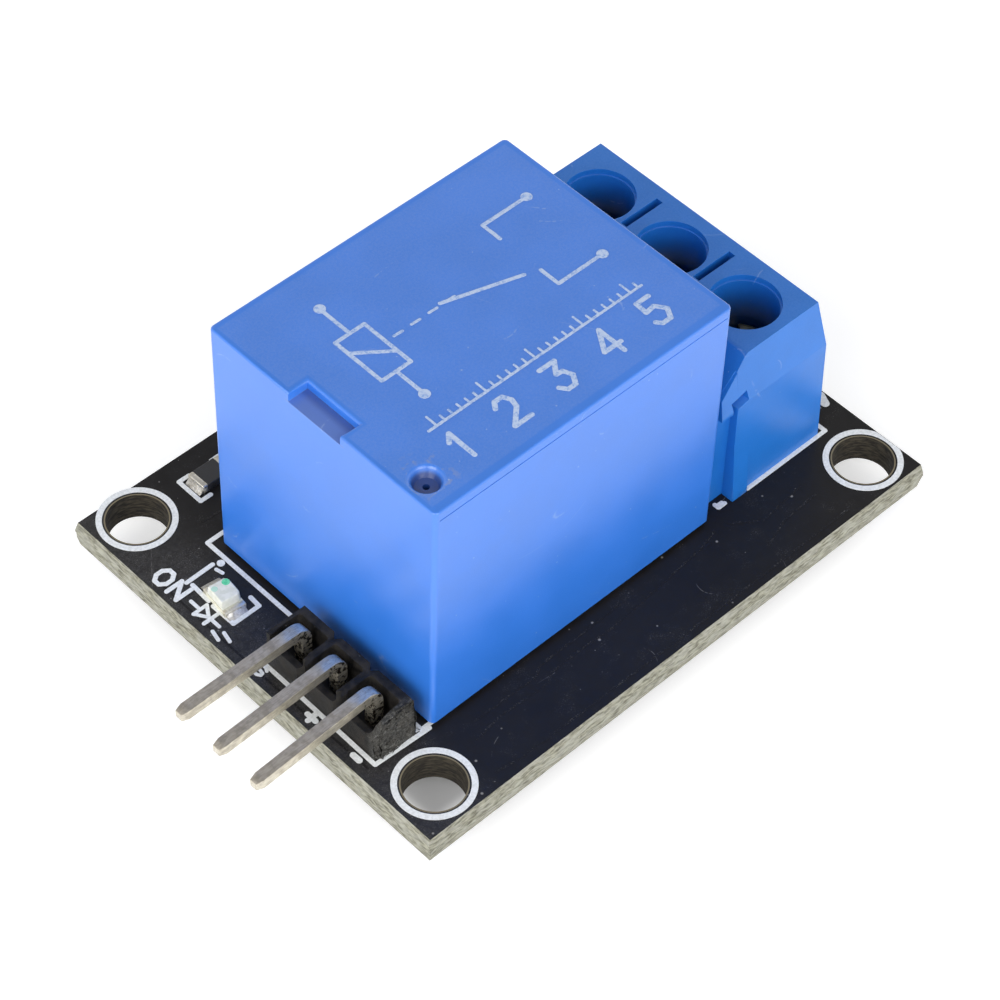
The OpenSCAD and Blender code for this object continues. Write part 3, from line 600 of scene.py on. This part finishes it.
cloud = noise(tree, 0.5 * mm, 5, 0.6)
grain = noise(tree, 0.05 * mm, 3, 0.6)
black = mix(tree, ramp(tree, cloud, 0.35, 0.65), (0.008, 0.0075, 0.0075, 1), (0.027, 0.024, 0.021, 1))
torn = ramp(tree, parts(tree)["Y"], low.y + 0.75 * mm, low.y + 0.2 * mm)
hair = ramp(tree, noise(tree, 0.09 * mm, 4, 0.75, stretch=(2.2, 1, 0.6), turn=(0, 0.7, 0)), 0.46, 0.7)
specks = use(tree, dust, Cell=0.3 * mm, Share=0.25, Grain=0.16)["Mask"]
pale = product(tree, torn, calc(tree, "ADD", 0.05, product(tree, hair, 0.32)))
pale = calc(tree, "MAXIMUM", pale, product(tree, specks, 0.5))
coat(tree, shader, mix(tree, pale, black, (0.4, 0.4, 0.37, 1)), ramp(tree, cloud, 0.3, 0.7, 0.42, 0.62),
     calc(tree, "ADD", grain, product(tree, cloud, 1.5)), 0.03 * mm)
fit(spacer, "board", "black_nylon", nylon, "header_spacer")


# ---- Header pins ---------------------------------------------------------------------------------
# Square brass wire, 0.64 mm across, under dull tin plating. Each is pressed into the spacer, bent
# over on a small radius, and has a coined point at its free end.
wire = 0.32
pin = box("header_pin", spot(2.4 - wire, rows[-1] - wire, -3.3), spot(2.4 + wire, rows[-1] + wire, 2.36))
bpy.ops.object.mode_set(mode="EDIT")
pick("FACE", lambda f: f.normal.z > 0.9)
bpy.ops.mesh.spin(steps=10, angle=math.pi / 2, center=spot(1.78, rows[-1], 2.36), axis=(0, 1, 0), dupli=False)
for reach, across in ((6.68, 1.0), (0.38, 0.74), (0.04, 0.86)):
    bpy.ops.mesh.extrude_region_move(TRANSFORM_OT_translate={"value": (-reach * mm, 0, 0)})
    tip = middle([f for f in bmesh.from_edit_mesh(pin.data).faces if f.select][0])
    bpy.ops.transform.resize(value=(1, across, across), center_override=tip)
pick("FACE", lambda f: f.normal.z < -0.9 and middle(f).z < spot(0, 0, -3).z)
bpy.ops.mesh.inset(thickness=0.1 * mm)
bpy.ops.transform.translate(value=(0, 0, -0.02 * mm))
bpy.ops.mesh.select_all(action="SELECT")
bpy.ops.mesh.remove_doubles(threshold=0.002 * mm)
bpy.ops.mesh.normals_make_consistent(inside=False)
bpy.ops.object.mode_set(mode="OBJECT")
round_off(pin, 0.04 * mm, 2, 40)


def grains(tree, place, size, detail, rough=0.5):
    """a noise at a place, with grains of the size that a group is given"""
    sockets = {"Vector": place, "Scale": calc(tree, "DIVIDE", 1.0, size), "Detail": detail, "Roughness": rough}
    return add(tree, "TexNoise", sockets).outputs["Fac"]


# plated metal: a soft cloudy coat with drawn lines and darker, duller patches
plated, given, result = group("plated_wear", {"Patch": 0.7 * mm, "Drawn": 0.06 * mm, "Dull": 0.5},
                              ["Patches", "Lines", "Gloss"])
place = add(plated, "TexCoord").outputs["Object"]
patchy = ramp(plated, grains(plated, place, given["Patch"], 4.0, 0.6), 0.38, 0.66)
laid = add(plated, "Mapping", {"Vector": place, "Scale": (0.16, 1.0, 0.5)})
plated.links.new(product(plated, patchy, given["Dull"]), result["Patches"])
plated.links.new(grains(plated, laid.outputs[0], given["Drawn"], 2.0), result["Lines"])
plated.links.new(calc(plated, "ADD", 0.29, product(plated, patchy, 0.18)), result["Gloss"])


def metal(name, bright, dull, patch, drawn, deep, dullness=0.6, gloss=1.0):
    """a plated metal that goes from its bright colour to its dull one in cloudy patches"""
    made, tree, shader = material(name)
    effect = use(tree, plated, Patch=patch, Drawn=drawn, Dull=dullness)
    tree.links.new(calc(tree, "SUBTRACT", 1.0, product(tree, effect["Patches"], 0.15)), shader["Metallic"])
    coat(tree, shader, mix(tree, effect["Patches"], bright, dull), product(tree, effect["Gloss"], gloss),
         calc(tree, "ADD", effect["Lines"], effect["Patches"]), deep)
    return made


pin_tin, tree, shader = material("pin_tin")
effect = use(tree, plated, Patch=0.5 * mm, Drawn=0.09 * mm, Dull=0.8)
x, up = parts(tree)["X"], parts(tree, "Normal")["Z"]
straight = ramp(tree, x, spot(1.5, 0).x, spot(0.6, 0).x)
# the up-facing faces of the straight ends are painted darker, a painted reflection of the dim space overhead,
# and are also made rougher and less metallic
dark_tops_painted = product(tree, straight, ramp(tree, up, 0.5, 0.9))
bright = mix(tree, effect["Patches"], (0.72, 0.67, 0.55, 1), (0.5, 0.45, 0.36, 1))
worn = mix(tree, effect["Patches"], (0.37, 0.335, 0.28, 1), (0.23, 0.205, 0.165, 1))
streak = ramp(tree, noise(tree, 0.05 * mm, 3, 0.6, stretch=(9, 1, 1)), 0.42, 0.66, 0.0, 0.35)
colour = mix(tree, streak, mix(tree, dark_tops_painted, bright, worn), (0.13, 0.11, 0.09, 1))
# the sides and underside of each bend are painted near black in patches: partly flaked plating, partly painted
# shade down in the spacer's pocket
bend_shade_and_flaking = product(tree, ramp(tree, x, spot(1.25, 0).x, spot(1.75, 0).x), ramp(tree, up, 0.6, 0.2))
flaked = ramp(tree, noise(tree, 0.24 * mm, 3, 0.6), 0.49, 0.56)
colour = mix(tree, product(tree, bend_shade_and_flaking, flaked), colour, (0.035, 0.026, 0.018, 1))
tree.links.new(calc(tree, "SUBTRACT", 0.85, product(tree, dark_tops_painted, 0.6)), shader["Metallic"])
coat(tree, shader, colour, calc(tree, "ADD", effect["Gloss"], product(tree, dark_tops_painted, 0.15)),
     calc(tree, "ADD", effect["Lines"], effect["Patches"]), 0.006 * mm)
# each free end has been pushed a little out of line
for k, y, lean in ((3, rows[2], 0.02), (2, rows[1], -0.14), (1, rows[0], -0.24)):
    copy = bpy.data.objects.new(f"pin_{k}", pin.data.copy())
    scene.collection.objects.link(copy)
    copy.location = (0, (y - rows[-1]) * mm, 0)
    settle(copy)
    bpy.ops.object.mode_set(mode="EDIT")
    pick("VERT", lambda v: v.co.x < spot(-4, 0).x)
    bpy.ops.transform.translate(value=(0, lean * mm, -0.04 * mm))
    bpy.ops.object.mode_set(mode="OBJECT")
    fit(copy, "board", "header_tin", pin_tin, f"header_pin_{k}")
bpy.data.objects.remove(pin)


# ---- Screw terminal ------------------------------------------------------------------------------
# A three-way block moulded in blue polyamide, with a hooked tongue at its near end and slits between
# the poles. Clamps of plated brass sit inside, each with a screw at the bottom of a deep round hole.
def merged(node, name):
    """a copy of a node's mesh with its triangles merged into faces"""
    piece = bpy.data.objects.new(name, nodes[node].data.copy())
    scene.collection.objects.link(piece)
    return whole(piece)


def whole(piece):
    """merge the piece's doubled points and flat neighbouring faces"""
    bpy.ops.object.select_all(action="DESELECT")
    piece.select_set(True)
    bpy.context.view_layer.objects.active = piece
    bpy.ops.object.mode_set(mode="EDIT")
    bpy.ops.mesh.select_all(action="SELECT")
    bpy.ops.mesh.remove_doubles(threshold=0.001 * mm)
    bpy.ops.mesh.dissolve_limited(angle_limit=math.radians(1.0))
    bpy.ops.object.mode_set(mode="OBJECT")
    return piece


def refine(node, name, size, steps=2, sharper_than=30):
    """a merged copy of a node's mesh with its sharp edges rounded"""
    piece = merged(node, name)
    round_off(piece, size, steps, sharper_than)
    return piece


terminal = merged("terminal_housing", "terminal_block")
# a cheek above the tongue's pocket leans with the near end and ends on the back slope
cheek = box("cheek", spot(24.16, 5.115, 6.6), spot(25.4, 5.8, 10))
bpy.ops.object.mode_set(mode="EDIT")
bpy.ops.mesh.select_all(action="SELECT")
bpy.ops.mesh.bisect(plane_co=spot(0, 0, 6.87), plane_no=(0, 0, 1))
for level, lean in ((6.87, 0.005), (10, 0.435)):
    pick("VERT", lambda v: abs(v.co.z - spot(0, 0, level).z) < 0.01 * mm and v.co.y < spot(0, 5.3).y)
    bpy.ops.transform.translate(value=(0, lean * mm, 0))
bpy.ops.mesh.select_all(action="SELECT")
bpy.ops.mesh.bisect(plane_co=spot(24.16, 0, 8), plane_no=(-1.9, 0, 1.72), clear_outer=True, use_fill=True)
bpy.ops.object.mode_set(mode="OBJECT")
carve(cheek, box("foot", spot(24.97, 5, 6), spot(26, 6, 7.2)))
carve(terminal, cheek, way="UNION")
pocket = box("pocket", (0, 0, 0), (1.1 * mm, 1.12 * mm, 0.72 * mm))
pocket.rotation_euler.y = math.radians(-12)
pocket.location = spot(25.0, 4.57, 6.7)
carve(terminal, settle(pocket))
# each screw hole narrows a little below its mouth
pole_x, pole_pitch = 28.42, 5.08
poles = [8 + k * pole_pitch for k in range(3)]
for y in poles:
    sleeve = rod("sleeve", spot(pole_x, y, 7.1), 2.0 * mm, 2.55 * mm, 64)
    carve(sleeve, rod("bore", spot(pole_x, y, 6), 1.79 * mm, 4 * mm, 64))
    carve(terminal, sleeve, way="UNION")
whole(terminal)
round_off(terminal, 0.11 * mm, 3)

# moulded plastic: a fine sparkled skin from the mould, and faint slow waves from shrinkage
moulded, given, result = group("moulded_skin", {"Grain": 0.05 * mm, "Wave": 2.5 * mm},
                               ["Height", "Tone", "Gloss"])
place = add(moulded, "TexCoord").outputs["Object"]
fine = grains(moulded, place, given["Grain"], 3.0, 0.6)
slow = grains(moulded, place, given["Wave"], 2.0)
moulded.links.new(calc(moulded, "ADD", fine, product(moulded, slow, 2.0)), result["Height"])
tone = calc(moulded, "ADD", product(moulded, fine, 0.4), product(moulded, slow, 0.6))
moulded.links.new(tone, result["Tone"])
moulded.links.new(ramp(moulded, slow, 0.3, 0.7, 0.0, 0.04), result["Gloss"])


def plastic(name, deep, pale, gloss, grain, wave, depth, chalk=0.5, index=1.5, tinge=None):
    """a moulded blue plastic with specks of dust, scuffs and a fine mould skin"""
    made, tree, shader = material(name, IOR=index)
    skin = use(tree, moulded, Grain=grain, Wave=wave)
    colour = mix(tree, ramp(tree, skin["Tone"], 0.35, 0.65), deep, pale)
    if tinge:
        colour = tinge(tree, colour)
    specks = use(tree, dust, Cell=0.55 * mm, Share=0.2, Grain=0.1)["Mask"]
    short = use(tree, scuffs, Cell=2.6 * mm, Length=0.9 * mm, Thickness=0.05 * mm, Share=0.3)["Mask"]
    long = use(tree, scuffs, Cell=9 * mm, Length=7 * mm, Thickness=0.035 * mm, Share=0.6)["Mask"]
    marks = calc(tree, "MAXIMUM", product(tree, short, 0.55), product(tree, long, 0.25))
    worn = product(tree, calc(tree, "MAXIMUM", specks, marks), chalk)
    rough = calc(tree, "ADD", calc(tree, "ADD", gloss, skin["Gloss"]), product(tree, worn, 0.3))
    coat(tree, shader, mix(tree, worn, colour, (0.42, 0.52, 0.7, 1)), rough, skin["Height"], depth)
    return made


def sheen_tops_and_hole_shade(tree, colour):
    """the blue a little paler on faces that look up, partly dust and partly a painted sheen, and painted near
    black down the screw holes as painted shade
    """
    # faces that look up are painted paler: partly a film of dust, partly a painted sheen
    up = ramp(tree, parts(tree, "Normal")["Z"], 0.6, 0.95)
    dust_and_sheen_film = ramp(tree, noise(tree, 0.12 * mm, 4, 0.7), 0.25, 0.75, 0.02, 0.055)
    colour = mix(tree, product(tree, up, dust_and_sheen_film), colour, (0.6, 0.62, 0.62, 1))
    x, y, z = parts(tree)
    half = pole_pitch / 2 * mm
    y = calc(tree, "WRAP", calc(tree, "SUBTRACT", y, spot(0, poles[0]).y), half, -half)
    painted_shade_in_hole = calc(tree, "LESS_THAN", from_axis(tree, x, y, (spot(pole_x, 0).x, 0)), 1.9 * mm)
    # down the screw holes the blue is painted near black: painted shade
    down = ramp(tree, z, spot(0, 0, 9.4).z, spot(0, 0, 6.4).z)
    return mix(tree, product(tree, painted_shade_in_hole, down, 0.85), colour, (0.003, 0.01, 0.03, 1))


terminal_plastic = plastic("terminal_plastic", (0.0125, 0.148, 0.53, 1), (0.016, 0.165, 0.585, 1), 0.285,
                           0.06 * mm, 2.2 * mm, 0.006 * mm, tinge=sheen_tops_and_hole_shade)
fit(terminal, "board", "terminal_blue", terminal_plastic, "terminal_housing")

screw_plate = metal("screw_plate", (0.8, 0.7, 0.42, 1), (0.4, 0.34, 0.2, 1), 0.4 * mm, 0.1 * mm, 0.02 * mm)
clamp_brass = metal("clamp_brass", (0.76, 0.68, 0.45, 1), (0.5, 0.46, 0.33, 1), 0.9 * mm, 0.06 * mm, 0.01 * mm)
plate_zinc = metal("plate_zinc", (0.72, 0.72, 0.73, 1), (0.5, 0.5, 0.5, 1), 0.8 * mm, 0.06 * mm, 0.01 * mm)
for k in (1, 2, 3):
    # the screw's head stands a little proud of its clamp
    screw = merged(f"clamp_screw_{k}", f"screw_{k}")
    bpy.ops.object.mode_set(mode="EDIT")
    pick("VERT", lambda v: v.co.z > spot(0, 0, 5.2).z)
    bpy.ops.transform.translate(value=(0, 0, 0.8 * mm))
    bpy.ops.object.mode_set(mode="OBJECT")
    round_off(screw, 0.07 * mm)
    fit(screw, f"screw_{k}", "screw_steel", screw_plate, f"clamp_screw_{k}")
    clamp = refine(f"wire_clamp_{k}", f"clamp_{k}", 0.09 * mm, 2)
    fit(clamp, "board", "clamp_metal", clamp_brass, f"wire_clamp_{k}")
    plate = refine(f"clamp_plate_{k}", f"plate_{k}", 0.04 * mm, 2)
    fit(plate, f"plate_{k}", "plate_steel", plate_zinc, f"clamp_plate_{k}")


# ---- Relay cover ---------------------------------------------------------------------------------
# A thin-walled box moulded in blue polyester over the relay's works. A step is let into its top edge
# at the header's end, and a small dish holds the vent. A fine parting line runs under the near top edge.
low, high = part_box("relay_cover")
left, near, foot, right, far, top = *low, *high
wall = 0.8 * mm
sunk = 0.55 * mm  # how deep the step and the vent's dish are let in
step_end, step_mid, step_half = left + 1.18 * mm, near + 8.09 * mm, 1.77 * mm
vent_x, vent_y = left + 1.18 * mm, near + 1.86 * mm
cover = box("relay_box", low, high)
bpy.ops.object.mode_set(mode="EDIT")
pick("EDGE", lambda e: abs((e.verts[0].co - e.verts[1].co).z) > 1 * mm)
bpy.ops.mesh.bevel(offset=0.28 * mm, segments=6, affect="EDGES")
pick("EDGE", lambda e: middle(e).z > top - 0.01 * mm)
bpy.ops.mesh.bevel(offset=0.13 * mm, segments=3, affect="EDGES")
bpy.ops.object.mode_set(mode="OBJECT")
carve(cover, box("hollow", (left + wall, near + wall, foot - mm), (right - wall, far - wall, top - 0.9 * mm)))
carve(cover, box("step", (left - mm, step_mid - step_half, top - sunk),
                 (step_end, step_mid + step_half, top + mm)))
carve(cover, rod("dish", (vent_x, vent_y, top - sunk), 0.56 * mm, sunk + 0.02 * mm, 48, 0.82 * mm))
carve(cover, rod("vent", (vent_x, vent_y, top - 1.2 * mm), 0.17 * mm, 1 * mm, 20))
bpy.ops.object.mode_set(mode="EDIT")
pick("EDGE", lambda e: abs(middle(e).z - top) < 0.01 * mm and e.verts[0].co.z == e.verts[1].co.z and (
    (middle(e) - Vector((left + 0.7 * mm, step_mid, top))).length < 1.95 * mm or
    (middle(e) - Vector((vent_x, vent_y, top))).length < 1 * mm))
bpy.ops.mesh.bevel(offset=0.17 * mm, segments=4, affect="EDGES")
bpy.ops.object.mode_set(mode="OBJECT")
carve(cover, box("parting", (left + 0.3 * mm, near - mm, top - 0.62 * mm),
                 (right - 0.3 * mm, near + 0.04 * mm, top - 0.56 * mm)))
round_off(cover, 0.05 * mm, 2, 40)


def etched_sheen_and_hollow_shade(tree, colour):
    """the blue paler in a patch over the top that stops short of its edges, partly etching and partly a
    painted sheen, and painted shade in its hollows
    """
    x, y, z = parts(tree)
    inside = ramp(tree, z, top - 0.03 * mm, top - 0.01 * mm)
    for value, start, end in ((x, left + 0.22 * mm, left + 0.3 * mm), (x, right - 0.3 * mm, right - 0.42 * mm),
                              (y, near + 0.42 * mm, near + 0.54 * mm), (y, far - 0.3 * mm, far - 0.42 * mm)):
        inside = product(tree, inside, ramp(tree, value, start, end))
    by_step = product(tree, ramp(tree, x, left + 1.5 * mm, left + 1.4 * mm),
                      ramp(tree, past(tree, y, step_mid, 0.0), 2.1 * mm, 1.98 * mm))
    # the patch over the top is painted paler, partly a painted sheen on the top
    frost = ramp(tree, noise(tree, 0.12 * mm, 4, 0.75), 0.3, 0.7, 0.015, 0.085)
    etch_and_sheen = product(tree, inside, calc(tree, "SUBTRACT", 1.0, by_step), frost)
    colour = mix(tree, etch_and_sheen, colour, (0.6, 0.6, 0.6, 1))
    step_floor = product(tree, by_step, ramp(tree, past(tree, z, top - sunk, 0.0), 0.05 * mm, 0.02 * mm))
    colour = mix(tree, product(tree, step_floor, 0.75), colour, (0.1, 0.17, 0.47, 1))
    shade = product(tree, step_floor, ramp(tree, x, left + 0.55 * mm, left + 1.0 * mm), 0.5)
    colour = mix(tree, shade, colour, (0.012, 0.03, 0.16, 1))
    reach = from_axis(tree, x, y, (vent_x, vent_y))
    # the vent's dish is painted dark towards its floor: painted shade
    dish_painted_shade = product(tree, ramp(tree, reach, 0.85 * mm, 0.7 * mm),
                    ramp(tree, z, top - 0.15 * mm, top - 0.4 * mm))
    colour = mix(tree, product(tree, dish_painted_shade, 0.8), colour, (0.01, 0.02, 0.12, 1))
    smudge = product(tree, ramp(tree, reach, 1.9 * mm, 0.9 * mm),
                     ramp(tree, noise(tree, 0.5 * mm, 3), 0.56, 0.68))
    return mix(tree, product(tree, smudge, inside, 0.3), colour, (0.4, 0.36, 0.25, 1))


relay_plastic = plastic("relay_plastic", (0.026, 0.168, 0.64, 1), (0.031, 0.182, 0.69, 1), 0.28,
                        0.05 * mm, 3 * mm, 0.005 * mm, 0.6, 1.85, etched_sheen_and_hollow_shade)
fit(cover, "board", "relay_blue", relay_plastic, "relay_cover")


# ---- Print on the relay --------------------------------------------------------------------------
# Pale ink stamped on the cover by a pad, and rubbed thin in places: a plain sketch of the coil and
# its contacts, a row of ticks and the numbers 1 to 5. It carries no words.
relay_print = sheet_of_ink("relay_print")
lift = (top - corner.z) / mm
for index, sign in enumerate("12345"):
    write(relay_print, sign, 7.6 + 3.1 * index, 6.1, 1.05, 1.7, 0.27, lift=lift)
pen(relay_print, [(7.6, 8.5), (21.2, 8.5)], 0.16, lift)
for index in range(26):
    tick = 8.1 + 0.516 * index
    pen(relay_print, [(tick, 8.5), (tick, 9.2 if index % 6 == 0 else 8.85)], 0.13, lift)
for course in ([(9.0, 10.6), (9.0, 12.2)], [(8.1, 12.2), (9.9, 12.2), (9.9, 15.4), (8.1, 15.4), (8.1, 12.2)],
               [(8.1, 14.5), (9.9, 13.1)], [(9.0, 15.4), (9.0, 17.2)], [(13.4, 14.0), (17.6, 12.7)],
               [(18.4, 12.4), (18.4, 11.2), (21.0, 11.2)], [(18.4, 15.2), (18.4, 16.4), (21.0, 16.4)]):
    pen(relay_print, course, 0.22, lift)
for index in range(4):
    pen(relay_print, [(10.4 + index * 1.1, 13.9), (10.9 + index * 1.1, 13.88)], 0.16, lift)
for x, y in ((9.0, 10.3), (9.0, 17.5), (21.3, 11.2), (21.3, 16.4)):
    pen(relay_print, [(x, y), (x + 0.001, y)], 0.6, lift)
dry(relay_print, 0.006)
stamped, tree, shader = material("stamped_ink", IOR=1.45)
thin = ramp(tree, noise(tree, 0.16 * mm, 5, 0.7), 0.42, 0.72)
coat(tree, shader, mix(tree, thin, (0.46, 0.56, 0.76, 1), (0.16, 0.30, 0.66, 1)),
     ramp(tree, thin, 0.0, 1.0, 0.55, 0.4), thin, 0.004 * mm)
fit(relay_print, "board", "white_ink", stamped)


# ---- Status light --------------------------------------------------------------------------------
# A green chip light: a block of cloudy epoxy on a white laminate base, with half-round plated ends
# that are soldered down. Green paint shows under the lens.
def placed(piece):
    """turn and move a piece made on the origin to where the light sits"""
    piece.rotation_euler.z = math.radians(-7)
    piece.location = spot(2.22, 17.3)
    return settle(piece)


lens = box("light_lens", (-0.6 * mm, -0.7 * mm, 0.28 * mm), (0.6 * mm, 0.7 * mm, 0.82 * mm))
bpy.ops.object.mode_set(mode="EDIT")
pick("FACE", lambda f: f.normal.z > 0.9)
bpy.ops.transform.resize(value=(0.94, 0.88, 1), center_override=(0, 0, 0))
pick("EDGE", lambda e: abs((e.verts[0].co - e.verts[1].co).z) > 0.3 * mm and middle(e).x > 0)
bpy.ops.mesh.bevel(offset=0.22 * mm, segments=5, affect="EDGES")
bpy.ops.object.mode_set(mode="OBJECT")
round_off(lens, 0.07 * mm, 3)
cloudy, tree, shader = material("light_epoxy", IOR=1.5, Transmission_Weight=0.12)
swirl = noise(tree, 0.3 * mm, 3)
coat(tree, shader, mix(tree, ramp(tree, swirl, 0.35, 0.65), (0.78, 0.79, 0.69, 1), (0.90, 0.90, 0.82, 1)),
     ramp(tree, swirl, 0.3, 0.7, 0.3, 0.42), swirl, 0.01 * mm)
fit(placed(lens), "board", "led_epoxy", cloudy, "led_lens")

seat = box("light_base", (-0.62 * mm, -0.98 * mm, 0), (0.62 * mm, 0.98 * mm, 0.28 * mm))
for side in (-1, 1):
    carve(seat, rod("half_hole", (0, side * 1.02 * mm, -mm), 0.27 * mm, 2 * mm, 32))
round_off(seat, 0.03 * mm, 2)
laminate_white, tree, shader = material("light_laminate", IOR=1.5)
weave = noise(tree, 0.12 * mm, 2)
coat(tree, shader, mix(tree, weave, (0.66, 0.64, 0.50, 1), (0.84, 0.82, 0.70, 1)),
     ramp(tree, weave, 0.3, 0.7, 0.45, 0.6), weave, 0.006 * mm)
fit(placed(seat), "board", "led_laminate", laminate_white, "led_base")

dabs = rod("light_marks", (0.33 * mm, 0.36 * mm, 0.815 * mm), 0.21 * mm, 0.012 * mm, 24)
paler = rod("paler", (-0.38 * mm, 0.3 * mm, 0.815 * mm), 0.17 * mm, 0.012 * mm, 24)
bpy.ops.object.select_all(action="DESELECT")
paler.select_set(True)
dabs.select_set(True)
bpy.context.view_layer.objects.active = dabs
bpy.ops.object.join()
finish_with(dabs, "BEVEL", width=0.005 * mm, segments=1, limit_method="ANGLE")
green, tree, shader = material("light_green", IOR=1.45)
blot = noise(tree, 0.1 * mm, 3)
strong = mix(tree, ramp(tree, blot, 0.35, 0.65), (0.08, 0.58, 0.28, 1), (0.2, 0.72, 0.42, 1))
fading = ramp(tree, parts(tree)["X"], spot(2.4, 0).x, spot(2.1, 0).x)
coat(tree, shader, mix(tree, fading, strong, (0.5, 0.74, 0.6, 1)), ramp(tree, blot, 0.3, 0.7, 0.3, 0.45))
fit(placed(dabs), "board", "led_epoxy", green)


# ---- Chips and solder ----------------------------------------------------------------------------
# Two chip resistors, a small transistor and a diode on the strip behind the relay, with tinned ends.
# The solder has flowed up their ends, and stands in cones round the cut leads under the board.
chip_black, tree, shader = material("chip_black", IOR=1.52)
pitted = noise(tree, 0.06 * mm, 3, 0.6)
coat(tree, shader, mix(tree, pitted, (0.012, 0.012, 0.013, 1), (0.04, 0.04, 0.042, 1)),
     ramp(tree, pitted, 0.3, 0.7, 0.35, 0.55), pitted, 0.012 * mm)
lead_tin = metal("lead_tin", (0.78, 0.75, 0.68, 1), (0.52, 0.48, 0.40, 1), 0.35 * mm, 0.12 * mm,
                 0.012 * mm, 0.8, 1.3)
solder = metal("soft_solder", (0.66, 0.64, 0.6, 1), (0.4, 0.37, 0.31, 1), 0.22 * mm, 0.2 * mm,
               0.02 * mm, 0.8, 1.25)
light_tin = metal("light_tin", (0.86, 0.82, 0.7, 1), (0.6, 0.54, 0.4, 1), 0.25 * mm, 0.2 * mm,
                  0.01 * mm, 0.6, 1.5)
for finish, slot, edges in (
        (chip_black, "chip_black", {"resistor_1_body": 0.04, "resistor_2_body": 0.04, "transistor_body": 0.06,
                                    "diode_body": 0.06}),
        (lead_tin, "lead_tin", {"resistor_1_caps": 0.08, "resistor_2_caps": 0.08, "transistor_leads": 0.04,
                                "diode_leads": 0.04}),
        (light_tin, "lead_tin", {"led_contacts": 0.04}), (solder, "solder", {"surface_solder": 0.05})):
    for node, size in edges.items():
        fit(refine(node, node + "_formed", size * mm, 2), "board", slot, finish, node)


# ---- Works inside the relay ----------------------------------------------------------------------
# Nylon bobbin wound with enamelled wire on an iron core, the yoke and rocking armature, a bronze leaf
# and silver contacts. None of it shows until the cover is off.
nylon_white, tree, shader = material("bobbin_nylon", IOR=1.53)
milky = noise(tree, 0.8 * mm, 3)
coat(tree, shader, mix(tree, milky, (0.66, 0.64, 0.56, 1), (0.78, 0.76, 0.69, 1)),
     ramp(tree, milky, 0.3, 0.7, 0.4, 0.55), milky, 0.01 * mm)
wound, tree, shader = material("enamel_wire", Metallic=0.6)
turns = calc(tree, "ABSOLUTE", calc(tree, "SINE", product(tree, parts(tree)["Z"], math.pi / (0.09 * mm))))
coat(tree, shader, mix(tree, turns, (0.16, 0.04, 0.01, 1), (0.62, 0.24, 0.07, 1)),
     ramp(tree, turns, 0.0, 1.0, 0.5, 0.3), turns, 0.03 * mm)
iron = metal("magnet_iron", (0.66, 0.66, 0.68, 1), (0.46, 0.46, 0.47, 1), 1.2 * mm, 0.08 * mm, 0.01 * mm)
bronze = metal("contact_bronze", (0.74, 0.5, 0.27, 1), (0.55, 0.37, 0.2, 1), 1.0 * mm, 0.06 * mm, 0.008 * mm)
silver = metal("contact_silver", (0.87, 0.86, 0.84, 1), (0.62, 0.6, 0.57, 1), 0.3 * mm, 0.05 * mm, 0.006 * mm)
for finish, kept in ((relay_plastic, ["relay_base"]), (nylon_white, ["coil_bobbin"]),
                     (wound, ["coil_winding"]),
                     (iron, ["iron_core", "relay_yoke", "relay_armature"]),
                     (bronze, ["contact_spring", "open_terminal", "closed_terminal", "common_terminal"]),
                     (silver, ["moving_contact", "open_contact", "closed_contact"]),
                     (lead_tin, ["coil_pin_1", "coil_pin_2"]),
                     (solder, ["header_solder", "terminal_solder", "relay_solder"])):
    for name in kept:
        nodes[name].data.materials.clear()
        nodes[name].data.materials.append(finish)
